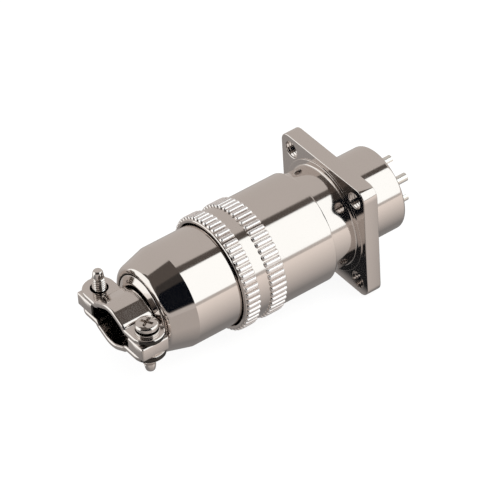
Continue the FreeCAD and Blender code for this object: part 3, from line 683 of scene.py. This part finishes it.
class PLUG_OT_locking_sleeve(bpy.types.Operator):
    """Turn the locking sleeve and press the two knurled bands into it"""

    bl_idname = "plug.locking_sleeve"
    bl_label = "Locking sleeve"

    def execute(self, context):
        sizes = context.scene.plug_sleeve
        low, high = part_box("locking_sleeve")
        front, rear = high.x / MM, low.x / MM
        outer = sizes.radius / MM
        rear_band = (rear + 0.25, rear + 3.15)
        front_band = (rear + 5.35, rear + 8.85)
        mouth, mouth_end = 9.9, front - 1.6
        bore = 9.3
        rib, rib_front, rib_rear = 8.0, front - 10.1, front - 11.1
        rear_bore = 9.92
        steps_in = [0.0, 0.05, 0.1, 0.16, 0.24, 0.34, 0.5]
        profile = [(rear, 10.0, 0.0), (rear, outer - 0.2, 0.0), (rear + 0.1, outer - 0.04, 0.0)]
        for start, end in (rear_band, front_band):
            stations = [start + step for step in steps_in] + [(start + end) / 2]
            stations += [end - step for step in reversed(steps_in)]
            profile += [(x, outer, 0.0) for x in stations]
        profile += [
            (front - 0.3, outer, 0.0),
            (front - 0.1, outer, 0.0),
            (front - 0.03, outer - 0.03, 0.0),
            (front, outer - 0.1, 0.0),
            (front, mouth + 0.05, 0.0),
            (front - 0.05, mouth, 0.0),
            (mouth_end, mouth, 0.0),
            (mouth_end, bore, 0.0),
            (rib_front, bore, 0.0),
            (rib_front, rib, 0.0),
            (rib_rear, rib, 0.0),
            (rib_rear, rear_bore, 0.0),
            (rear + 0.1, rear_bore, 0.0),
        ]
        cuts_per_ridge = 12
        bm = bmesh.new()
        turn(bm, profile, steps=sizes.ridge_count * cuts_per_ridge)
        self.raise_ridges(bm, sizes, outer, (rear_band, front_band))
        finish_piece(bm, "sleeve_knurled", "sleeve", "sleeve_nickel", "Sleeve nickel", "locking_sleeve")
        return {"FINISHED"}

    def raise_ridges(self, bm, sizes, outer, bands):
        """Lift the skin of the bands into ridges with rounded shoulders and corners."""
        top = sizes.knurl_radius / MM
        pitch = tau / sizes.ridge_count
        arc = pitch * (outer + top) / 2
        half_ridge = (arc - sizes.groove_width / MM) / 2
        shoulder = sizes.shoulder / MM
        corner = 0.3
        for vert in bm.verts:
            x, y, z = (part / MM for part in vert.co)
            radius = hypot(y, z)
            if abs(radius - outer) > TINY / MM:
                continue
            for start, end in bands:
                if not start <= x <= end:
                    continue
                turns = atan2(z, y) / pitch
                across = abs(turns - floor(turns) - 0.5) * arc - half_ridge + corner
                along = abs(x - (start + end) / 2) - (end - start) / 2 + corner
                outside = hypot(max(across, 0.0), max(along, 0.0))
                inside = min(max(across, along), 0.0)
                depth = min(max((corner - outside - inside) / shoulder, 0.0), 1.0)
                rise = (top - outer) * sqrt(1 - (1 - depth) ** 2)
                vert.co.y *= (outer + rise) / radius
                vert.co.z *= (outer + rise) / radius


class PLUG_OT_back_shell(bpy.types.Operator):
    """Turn the bell that screws onto the plug and narrows to the cable end"""

    bl_idname = "plug.back_shell"
    bl_label = "Back shell"

    def execute(self, context):
        sizes = context.scene.plug_back_shell
        low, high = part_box("back_shell")
        front, rear = high.x / MM, low.x / MM
        outer = sizes.radius / MM
        end = sizes.end_radius / MM
        opening = sizes.opening_radius / MM
        cone_start = rear + 5.4
        bore = 8.3
        seat, seat_rear, seat_front = 7.6, rear + 1.6, rear + 3.0
        bm = bmesh.new()
        turn(bm, [
            (front, bore, 0.15),
            (front, outer, 0.15),
            (cone_start, outer, 0.12),
            (rear, end, sizes.end_round / MM),
            (rear, opening, 0.28),
            (seat_rear, opening, 0.0),
            (seat_rear, seat, 0.0),
            (seat_front, seat, 0.0),
            (seat_front, bore, 0.0),
        ])
        finish_piece(bm, "bell", "plug", "bell_nickel", "Bell nickel", "back_shell")
        return {"FINISHED"}


class PLUG_OT_return_spring(bpy.types.Operator):
    """Wind the round-wire spring that closes up as the sleeve slides"""

    bl_idname = "plug.return_spring"
    bl_label = "Return spring"

    def execute(self, context):
        low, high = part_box("return_spring")
        wire = 0.3 * MM
        coil = 8.55 * MM
        turns = 3.5
        per_turn = 72
        span = high.x - low.x - 2 * wire
        bm = bmesh.new()
        ring = bmesh.ops.create_circle(
            bm,
            cap_ends=True,
            segments=12,
            radius=wire,
            matrix=Matrix.Translation((low.x + wire, 0, coil)) @ Matrix.Rotation(pi / 2, 4, "X"),
        )
        drawn = ring["verts"] + bm.edges[:] + bm.faces[:]
        advance = (span / (turns * per_turn), 0, 0)
        spin(bm, drawn, (1, 0, 0), int(turns * per_turn), tau * turns, advance)
        piece = finish_piece(bm, "spring_wound", "plug", "spring_steel", "Spring steel", "return_spring")
        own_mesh(piece)
        return {"FINISHED"}


class PLUG_OT_clamp_body(bpy.types.Operator):
    """Turn the clamp's neck and mill its two square lugs"""

    bl_idname = "plug.clamp_body"
    bl_label = "Clamp body"

    def execute(self, context):
        sizes = context.scene.plug_clamp
        low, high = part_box("clamp_body")
        front, rear = high.x / MM, low.x / MM
        bore, throat = 5.2, 4.9
        collar, collar_end = 7.3, front - 1.1
        neck = 6.72
        bm = bmesh.new()
        turn(bm, [
            (front, bore, 0.1),
            (front, collar, 0.1),
            (collar_end, collar, 0.1),
            (collar_end, neck, 0.0),
            (rear + 6.85, neck, 0.2),
            (rear + 6.3, bore + 0.2, 0.5),
            (rear + 6.45, throat, 0.2),
            (rear + 7.4, throat, 0.0),
            (rear + 7.6, bore, 0.0),
        ])
        half = sizes.lug_thickness / MM / 2
        edge = sizes.lug_edge / MM
        block_end, block_outer = rear + 5.65, 9.9
        root_end, root_outer = rear + 7.95, 6.35
        lug_inner = 5.35
        hole_place = rear + 3.05
        for side in (1, -1):

            def block(inset):
                inner, outer = lug_inner + inset, block_outer - inset
                corner = edge + SUPPORT + 0.02 - inset
                points = [
                    (rear + inset, inner, corner),
                    (rear + inset, outer, corner),
                    (block_end - inset, outer, corner),
                    (block_end - inset, root_outer - inset, 0.0),
                    (root_end - inset, root_outer - inset, 0.0),
                    (root_end - inset, inner, 0.0),
                ]
                points = [(across, side * up, radius) for across, up, radius in points]
                return rounded_outline(points, 4)

            lug = bmesh.new()
            pierced_plate(lug, block, [(hole_place, side * SCREW_OFFSET, SCREW_HOLE)], -half, half, edge)
            join(bm, lug)
        finish_piece(bm, "clamp_lugs", "cable_clamp", "clamp_nickel", "Clamp nickel", "clamp_body")
        return {"FINISHED"}


# A stretch of the saddle strip: where it starts, its length, its slope there, the angle it turns
# through, and the offset and height of its start
Stretch = namedtuple("Stretch", "start span slope turned offset height")


class SaddlePath:
    """The inner line of a saddle: half a crown, a sloping leg, a steep step and a flat ear."""

    def __init__(self, sizes):
        slope, step = sizes.saddle_slope, sizes.saddle_step
        crown, leg = sizes.saddle_crown / MM, sizes.saddle_leg / MM
        shoulder, bend = sizes.saddle_shoulder / MM, sizes.saddle_bend / MM
        rise = sizes.saddle_rise / MM
        rounded = crown * (1 - cos(slope)) + shoulder * (cos(slope) - cos(step)) + bend * (1 - cos(step))
        fall = (rise - rounded - leg * sin(slope)) / sin(step)
        ample_ear = 20.0
        self.stretches = []
        start, offset, height = 0.0, 0.0, sizes.lug_thickness / MM / 2 + rise
        for span, heading, turned in (
            (crown * slope, 0.0, slope),
            (leg, slope, 0.0),
            (shoulder * (step - slope), slope, step - slope),
            (fall, step, 0.0),
            (bend * step, step, -step),
            (ample_ear, 0.0, 0.0),
        ):
            self.stretches.append(Stretch(start, span, heading, turned, offset, height))
            start += span
            offset, height = self.place(start, 0.0)
        self.leg_end = self.stretches[2].start
        self.ear_start = self.stretches[-1].start
        self.ear_offset = self.stretches[-1].offset

    def reach(self, offset):
        """How far along the strip a point of the ear lies."""
        return self.ear_start + offset - self.ear_offset

    def place(self, along, level):
        """Offset from the middle and height of a point of the strip."""
        for part in self.stretches:
            if along <= part.start + part.span:
                break
        run = along - part.start
        heading = part.slope + part.turned * run / part.span
        if part.turned:
            radius = part.span / part.turned
            offset = part.offset + radius * (sin(heading) - sin(part.slope))
            height = part.height + radius * (cos(heading) - cos(part.slope))
        else:
            offset = part.offset + run * cos(part.slope)
            height = part.height - run * sin(part.slope)
        return offset + level * sin(heading), height + level * cos(heading)

    def stations(self):
        """Where the strip is cut across before it is bent."""
        pieces = 8
        cuts = []
        for part in self.stretches:
            if part.turned:
                cuts += [part.start + part.span * step / pieces for step in range(pieces + 1)]
                cuts += [part.start - SUPPORT, part.start + part.span + SUPPORT]
        return sorted(cut for cut in cuts if cut >= 0.0)


class PLUG_OT_saddles(bpy.types.Operator):
    """Stamp two flat strips and bend them into the saddles that grip the cable"""

    bl_idname = "plug.saddles"
    bl_label = "Saddles"

    def execute(self, context):
        sizes = context.scene.plug_clamp
        low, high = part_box("saddle_upper")
        rear, front = low.x / MM, high.x / MM
        path = SaddlePath(sizes)
        thickness = sizes.saddle_thickness / MM
        end = path.reach(high.y / MM)
        hole = path.reach(SCREW_OFFSET)
        ear_round = (front - rear) / 2 - 0.05
        notch = 0.3

        def outline(inset):
            bridge_end = front + sizes.bridge_extra / MM - inset
            return rounded_outline([
                (rear + inset, -end + inset, ear_round - inset),
                (front - inset, -end + inset, ear_round - inset),
                (front - inset, -path.ear_start, notch),
                (bridge_end, -path.leg_end + notch, notch),
                (bridge_end, path.leg_end - notch, notch),
                (front - inset, path.ear_start, notch),
                (front - inset, end - inset, ear_round - inset),
                (rear + inset, end - inset, ear_round - inset),
            ], 20)

        for name, node, turned in (
            ("saddle_top", "saddle_upper", 0.0),
            ("saddle_bottom", "saddle_lower", pi),
        ):
            bm = bmesh.new()
            holes = [((rear + front) / 2, side * hole, SCREW_HOLE) for side in (1, -1)]
            pierced_plate(bm, outline, holes, 0.0, thickness, sizes.saddle_edge / MM, 4)
            for station in path.stations():
                for side in (1, -1):
                    bmesh.ops.bisect_plane(
                        bm,
                        geom=bm.verts[:] + bm.edges[:] + bm.faces[:],
                        dist=TINY * MM,
                        plane_co=(0, side * station * MM, 0),
                        plane_no=(0, 1, 0),
                    )
            for vert in bm.verts:
                side = -1 if vert.co.y < 0 else 1
                offset, height = path.place(abs(vert.co.y) / MM, vert.co.z / MM)
                vert.co.y = side * offset * MM
                vert.co.z = height * MM
            bmesh.ops.rotate(bm, verts=bm.verts, cent=(0, 0, 0), matrix=Matrix.Rotation(turned, 3, "X"))
            finish_piece(bm, name, "cable_clamp", "saddle_nickel", "Saddle nickel", node)
        return {"FINISHED"}


def rim_at(bm, height, radius):
    """The edges that run round the Z axis at one height and radius."""
    found = []
    for edge in bm.edges:
        level = all(abs(vert.co.z - height * MM) < TINY for vert in edge.verts)
        round_axis = all(abs(hypot(vert.co.x, vert.co.y) - radius * MM) < TINY for vert in edge.verts)
        if level and round_axis:
            found.append(edge)
    return found


def screw_thread(pitch, crest, root, bottom, seat):
    """The ridge that winds round a clamp screw."""
    steps = 36
    turns = int((seat - bottom) / pitch) - 1
    points = [(root, 0.0), (crest, 0.4 * pitch), (crest, 0.55 * pitch), (root, 0.95 * pitch), (root, pitch)]
    thread = bmesh.new()
    verts = [thread.verts.new((radius * MM, 0, (bottom + height) * MM)) for radius, height in points]
    edges = [thread.edges.new(pair) for pair in zip(verts, verts[1:])]
    spin(thread, verts + edges, (0, 0, 1), steps * turns, tau * turns, (0, 0, pitch / steps * MM))
    bmesh.ops.remove_doubles(thread, verts=thread.verts, dist=0.004 * MM)
    return thread


def screw_core(root, tip, bottom, top):
    """The core of a clamp screw, with a rounded point below its thread."""
    core = bmesh.new()
    spin_up(core, [
        (tip, 0.5), (tip + 0.04, 0.66), (tip + 0.14, 0.78), (tip + 0.32, 0.88), (tip + 0.6, 0.95),
        (bottom - 0.25, 1.04), (bottom - 0.1, 1.03), (bottom, root + 0.02), (top, root + 0.02),
    ], 48)
    bmesh.ops.holes_fill(core, edges=core.edges, sides=0)
    return core


def screw_head(head, seat, top):
    """A pan head with a cross recess, undercut where it meets the washer."""
    hub = 1.1
    collar = 1.6
    rim, rim_level = 1.42, top - 0.06
    recess_depth, recess_taper = 0.8, 0.7
    arm, width = 1.25, 0.3
    cap = bmesh.new()
    spin_up(cap, [
        (seat, hub), (seat, collar - 0.05), (seat + 0.04, collar - 0.03), (seat + 0.3, collar),
        (seat + 0.34, head - 0.22), (seat + 0.37, head - 0.1), (seat + 0.45, head - 0.02),
        (seat + 0.52, head), (seat + 0.56, head), (top - 0.54, head), (top - 0.5, head - 0.005),
        (top - 0.36, head - 0.06), (top - 0.23, head - 0.17), (top - 0.13, head - 0.32), (rim_level, rim),
    ], 64)
    cross = [
        (arm, width), (width, width), (width, arm), (-width, arm), (-width, width), (-arm, width),
        (-arm, -width), (-width, -width), (-width, -arm), (width, -arm), (width, -width), (arm, -width),
    ]
    mouth = loop(cap, [Vector(point) for point in cross], top)
    around = rim_at(cap, rim_level, rim) + mouth
    bmesh.ops.triangle_fill(cap, edges=around, use_beauty=True, normal=(0, 0, 1))
    bottom = loop(cap, [Vector(point) * recess_taper for point in cross], top - recess_depth)
    bmesh.ops.bridge_loops(cap, edges=mouth + bottom)
    bmesh.ops.triangle_fill(cap, edges=bottom, use_beauty=True, normal=(0, 0, 1))
    bmesh.ops.holes_fill(cap, edges=rim_at(cap, seat, hub), sides=0)
    return cap


def pan_head_screw(sizes, seat, tip):
    """One screw on the Z axis, with its head up, a threaded shank and a tapered point."""
    pitch = sizes.thread_pitch / MM
    crest = sizes.screw_radius / MM
    root = crest - 0.6 * pitch
    bottom = tip + 1.5
    top = seat + sizes.head_height / MM
    screw = screw_thread(pitch, crest, root, bottom, seat)
    join(screw, screw_core(root, tip, bottom, top - 1.0))
    join(screw, screw_head(sizes.head_radius / MM, seat, top))
    return screw


class PLUG_OT_clamp_screws(bpy.types.Operator):
    """Set one clamp screw from above and one from below, each with its washer"""

    bl_idname = "plug.clamp_screws"
    bl_label = "Clamp screws"

    def execute(self, context):
        sizes = context.scene.plug_clamp
        low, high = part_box("clamp_screws")
        middle = (low.x + high.x) / 2 / MM
        under = (sizes.lug_thickness / 2 + sizes.saddle_thickness) / MM
        seat = under + sizes.washer_thickness / MM
        tip = low.z / MM
        washer = sizes.washer_radius / MM
        washer_edge = 0.1
        recess_turn = Matrix.Rotation(0.5, 4, "Z")
        flip = Matrix.Rotation(pi, 4, "X")
        place = Matrix.Translation((middle * MM, -SCREW_OFFSET * MM, 0))
        screws = bmesh.new()
        washers = bmesh.new()
        for turn_over in (Matrix.Identity(4), flip):
            join(screws, pan_head_screw(sizes, seat, tip), turn_over @ place @ recess_turn)
            ring = bmesh.new()
            pierced_plate(
                ring,
                lambda inset: circle_points(0.0, 0.0, washer - inset, 64),
                [(0.0, 0.0, SCREW_HOLE)],
                under,
                seat,
                washer_edge,
            )
            join(washers, ring, turn_over @ place)
        finish_piece(
            screws, "screws_threaded", "cable_clamp", "screw_nickel", "Screw nickel", "clamp_screws"
        )
        finish_piece(
            washers, "washers_flat", "cable_clamp", "screw_nickel", "Screw nickel", "clamp_washers"
        )
        return {"FINISHED"}


# Stage

# What the metal mirrors, in tints
WALL = (0.58, 0.54, 0.51)
TABLE_UNDER = (0.25, 0.24, 0.235)
TABLE_FAR = (0.97, 0.89, 0.83)
TABLE_MIDDLE = (0.50, 0.46, 0.43)
SHADE = (0.10, 0.085, 0.075)
DEEP_SHADE = (0.043, 0.038, 0.035)
BLACK_CLOTH = (0.002, 0.003, 0.006)
SOFT_BOX = (1.36, 1.42, 1.42)
WINDOW = (1.3, 1.32, 1.3)
# Painted shadow: the floor by the flange, dark in place of its shade
PAINTED_FLOOR_SHADOW = (0.012, 0.012, 0.013)

# Where it stands round the X axis, in degrees from the far side over the top, as (outside, inside)
# pairs for its two ends
TABLE_ANGLES = ((-182.0, -181.0), (-15.0, -60.0))
SHADE_ANGLES = ((0.0, 1.0), (172.0, 100.0))
DEEP_ANGLES = ((99.0, 104.0), (172.0, 166.0))
CLOTH_ANGLES = ((117.0, 121.0), (172.0, 166.0))
BOX_ANGLES = ((101.0, 103.5), (174.5, 172.0))
WINDOW_ANGLES = ((-48.0, -38.0), (80.0, 70.0))

# Degrees taken from the shade's angle as a ray turns from across X to along it: its edge slants
SHADE_SLANT = -46.0
SLANTED_SHADE = ((66.5, 70.0), (400.0, 399.0))

# Angles over which the table grows pale, from under the connector out to the near side
TABLE_START = -98.0
TABLE_FAR_END = -176.0
TABLE_MIDDLE_END = -140.0

# Where it stands along X, from -1 at the cable's end to 1 at the contacts' end
BOX_SIDE = ((0.14, 0.2), (2.0, 1.9))
CLOTH_SIDE = ((-2.0, -1.9), (0.2, 0.14))
WINDOW_SIDE = ((-2.0, -1.9), (-0.46, -0.52))

# Painted shadow on the floor by the flange, a dark patch seen only in reflections: its reach in metres, and
# the rays that see it, which come from +X
SHADOW_ALONG = ((-0.014, -0.011), (0.0, -0.002))
SHADOW_ACROSS = ((-0.016, -0.014), (0.012, 0.008))
SHADOW_SEEN = ((0.1, 0.2), (2.0, 1.9))


def by_ray(tree, plain, mirrored):
    """One shader for what the camera and diffuse light see, another for what the metal mirrors."""
    paths = tree.nodes.new("ShaderNodeLightPath")
    mix = tree.nodes.new("ShaderNodeMixShader")
    tree.links.new(paths.outputs["Is Glossy Ray"], mix.inputs["Fac"])
    tree.links.new(plain.outputs[0], mix.inputs[1])
    tree.links.new(mirrored.outputs[0], mix.inputs[2])
    return mix.outputs[0]


def studio_world():
    """A pale studio: an even fill, and for gloss a soft box, a window, grey walls and a black cloth."""
    world = bpy.data.worlds.new("Studio")
    bpy.context.scene.world = world
    world.use_nodes = True
    tree = world.node_tree
    tree.nodes.clear()
    ray = axes(tree, "ShaderNodeTexCoord", "Generated")
    side = ray["X"]
    angle = calculate(tree, "DEGREES", calculate(tree, "ARCTAN2", ray["Z"], ray["Y"]))
    slanted = calculate(tree, "MULTIPLY_ADD", side, SHADE_SLANT, angle)
    box_side = between(tree, side, *BOX_SIDE)
    cloth_side = between(tree, side, *CLOTH_SIDE)
    window_side = between(tree, side, *WINDOW_SIDE)
    shade_reach = between(tree, angle, *SHADE_ANGLES)
    gloss = mixed(tree, between(tree, angle, *TABLE_ANGLES), WALL, TABLE_UNDER)
    for shape, reach, tint in (
        (ramp(tree, angle, TABLE_START, TABLE_FAR_END), box_side, TABLE_FAR),
        (ramp(tree, angle, TABLE_START, TABLE_MIDDLE_END), cloth_side, TABLE_MIDDLE),
        (between(tree, slanted, *SLANTED_SHADE), shade_reach, SHADE),
        (between(tree, angle, *DEEP_ANGLES), cloth_side, DEEP_SHADE),
        (between(tree, angle, *CLOTH_ANGLES), cloth_side, BLACK_CLOTH),
        (between(tree, angle, *BOX_ANGLES), box_side, SOFT_BOX),
        (between(tree, angle, *WINDOW_ANGLES), window_side, WINDOW),
    ):
        gloss = mixed(tree, calculate(tree, "MULTIPLY", shape, reach), gloss, tint)
    plain = tree.nodes.new("ShaderNodeBackground")
    plain.inputs["Color"].default_value = (1.0, 1.0, 1.0, 1.0)
    plain.inputs["Strength"].default_value = 1.0
    studio = tree.nodes.new("ShaderNodeBackground")
    tree.links.new(gloss, studio.inputs["Color"])
    out = tree.nodes.new("ShaderNodeOutputWorld")
    tree.links.new(by_ray(tree, plain, studio), out.inputs["Surface"])


def floor_material():
    """White to the camera; the metal mirrors the studio's table and, by the flange, a painted shadow: a dark
    patch standing in for the floor's shade.
    """
    material = bpy.data.materials.new("Studio floor")
    material.use_nodes = True
    tree = material.node_tree
    tree.nodes.clear()
    where = axes(tree, "ShaderNodeTexCoord", "Object")
    ray = axes(tree, "ShaderNodeNewGeometry", "Incoming")
    # Painted shadow: a patch of floor by the flange that the metal mirrors as dark
    along = between(tree, where["X"], *SHADOW_ALONG)
    across = between(tree, where["Y"], *SHADOW_ACROSS)
    ground = calculate(tree, "MULTIPLY", along, across)
    shadow_patch = calculate(tree, "MULTIPLY", ground, between(tree, ray["X"], *SHADOW_SEEN))
    white = tree.nodes.new("ShaderNodeEmission")
    white.inputs["Color"].default_value = (1.0, 1.0, 1.0, 1.0)
    white.inputs["Strength"].default_value = 0.9
    shaded = tree.nodes.new("ShaderNodeBsdfDiffuse")
    shaded.inputs["Color"].default_value = (0.15, 0.15, 0.15, 1.0)
    seen = tree.nodes.new("ShaderNodeAddShader")
    tree.links.new(white.outputs[0], seen.inputs[0])
    tree.links.new(shaded.outputs[0], seen.inputs[1])
    clear = tree.nodes.new("ShaderNodeBsdfTransparent")
    # Painted shadow: a dark emission where the floor beside the flange lies in shade
    dark = tree.nodes.new("ShaderNodeEmission")
    dark.inputs["Color"].default_value = (*PAINTED_FLOOR_SHADOW, 1.0)
    mirrored = tree.nodes.new("ShaderNodeMixShader")
    tree.links.new(shadow_patch, mirrored.inputs["Fac"])
    tree.links.new(clear.outputs[0], mirrored.inputs[1])
    tree.links.new(dark.outputs[0], mirrored.inputs[2])
    out = tree.nodes.new("ShaderNodeOutputMaterial")
    tree.links.new(by_ray(tree, seen, mirrored), out.inputs["Surface"])
    return material


class PLUG_OT_stage(bpy.types.Operator):
    """Lay the floor, light the studio and place the camera"""

    bl_idname = "plug.stage"
    bl_label = "Stage"

    def execute(self, context):
        studio_world()
        self.lay_floor()
        self.hang_lamp(context)
        self.place_camera(context)
        context.scene.view_settings.view_transform = "Standard"
        return {"FINISHED"}

    def lay_floor(self):
        """The connector rests on its flange's lower edge and on the sleeve's knurl."""
        heel = Vector((3.0 * MM, 0, -12.02 * MM))
        toe = Vector((-25.0 * MM, 0, -11.07 * MM))
        tilt = atan2(toe.z - heel.z, heel.x - toe.x)
        bm = bmesh.new()
        bmesh.ops.create_grid(bm, x_segments=1, y_segments=1, size=3.0)
        turn_down = Matrix.Translation(heel) @ Matrix.Rotation(tilt, 4, "Y")
        bmesh.ops.transform(bm, matrix=turn_down, verts=bm.verts)
        ground = new_object(bm, "Floor")
        ground.data.materials.append(floor_material())

    def hang_lamp(self, context):
        """A soft lamp over the near side, which the metal doesn't mirror."""
        lamp_data = bpy.data.lights.new("Key light", "AREA")
        lamp_data.shape = "SQUARE"
        lamp_data.size = 0.5
        lamp_data.energy = 2.0
        lamp = bpy.data.objects.new("Key light", lamp_data)
        lamp.location = (0.25, -0.35, 0.7)
        lamp.rotation_euler = (-lamp.location).to_track_quat("-Z", "Y").to_euler()
        lamp.visible_glossy = False
        context.scene.collection.objects.link(lamp)

    def place_camera(self, context):
        """A long lens, from the cable's end and above."""
        camera_data = bpy.data.cameras.new("Camera")
        camera_data.sensor_width = 36.0
        camera_data.lens = 288.0
        camera_data.clip_end = 20.0
        camera = bpy.data.objects.new("Camera", camera_data)
        right = Vector((0.8028, -0.5941, -0.0503))
        up = Vector((0.4201, 0.5038, 0.7548))
        back = Vector((-0.4231, -0.6270, 0.6541))
        pose = Matrix((right, up, back)).transposed().to_4x4()
        pose.translation = Vector((-0.3134, -0.4402, 0.4600))
        camera.matrix_world = pose
        context.scene.collection.objects.link(camera)
        context.scene.camera = camera


class PLUG_PT_panel(bpy.types.Panel):
    bl_idname = "PLUG_PT_panel"
    bl_label = "Aviation plug"
    bl_space_type = "VIEW_3D"
    bl_region_type = "UI"
    bl_category = "Connector"

    def draw(self, context):
        layout = self.layout
        for group in SETTINGS:
            settings = getattr(context.scene, group)
            column = layout.column()
            for name in settings.bl_rna.properties.keys():
                if name not in ("rna_type", "name"):
                    column.prop(settings, name)
        for operator in OPERATORS:
            layout.operator(operator.bl_idname)


SETTINGS = {
    "plug_receptacle": ReceptacleSizes,
    "plug_sleeve": SleeveSizes,
    "plug_back_shell": BackShellSizes,
    "plug_clamp": ClampSizes,
    "plug_finishes": FinishColours,
}
OPERATORS = (
    PLUG_OT_finishes,
    PLUG_OT_receptacle_shell,
    PLUG_OT_locking_sleeve,
    PLUG_OT_back_shell,
    PLUG_OT_return_spring,
    PLUG_OT_clamp_body,
    PLUG_OT_saddles,
    PLUG_OT_clamp_screws,
    PLUG_OT_stage,
)


def register():
    for name, group in SETTINGS.items():
        bpy.utils.register_class(group)
        setattr(bpy.types.Scene, name, bpy.props.PointerProperty(type=group))
    for operator in OPERATORS:
        bpy.utils.register_class(operator)
    bpy.utils.register_class(PLUG_PT_panel)


def unregister():
    bpy.utils.unregister_class(PLUG_PT_panel)
    for operator in reversed(OPERATORS):
        bpy.utils.unregister_class(operator)
    for name, group in SETTINGS.items():
        delattr(bpy.types.Scene, name)
        bpy.utils.unregister_class(group)


def main():
    register()
    bpy.ops.plug.finishes()
    bpy.ops.plug.receptacle_shell()
    bpy.ops.plug.locking_sleeve()
    bpy.ops.plug.back_shell()
    bpy.ops.plug.return_spring()
    bpy.ops.plug.clamp_body()
    bpy.ops.plug.saddles()
    bpy.ops.plug.clamp_screws()
    bpy.ops.plug.stage()


if __name__ == "__main__":
    main()
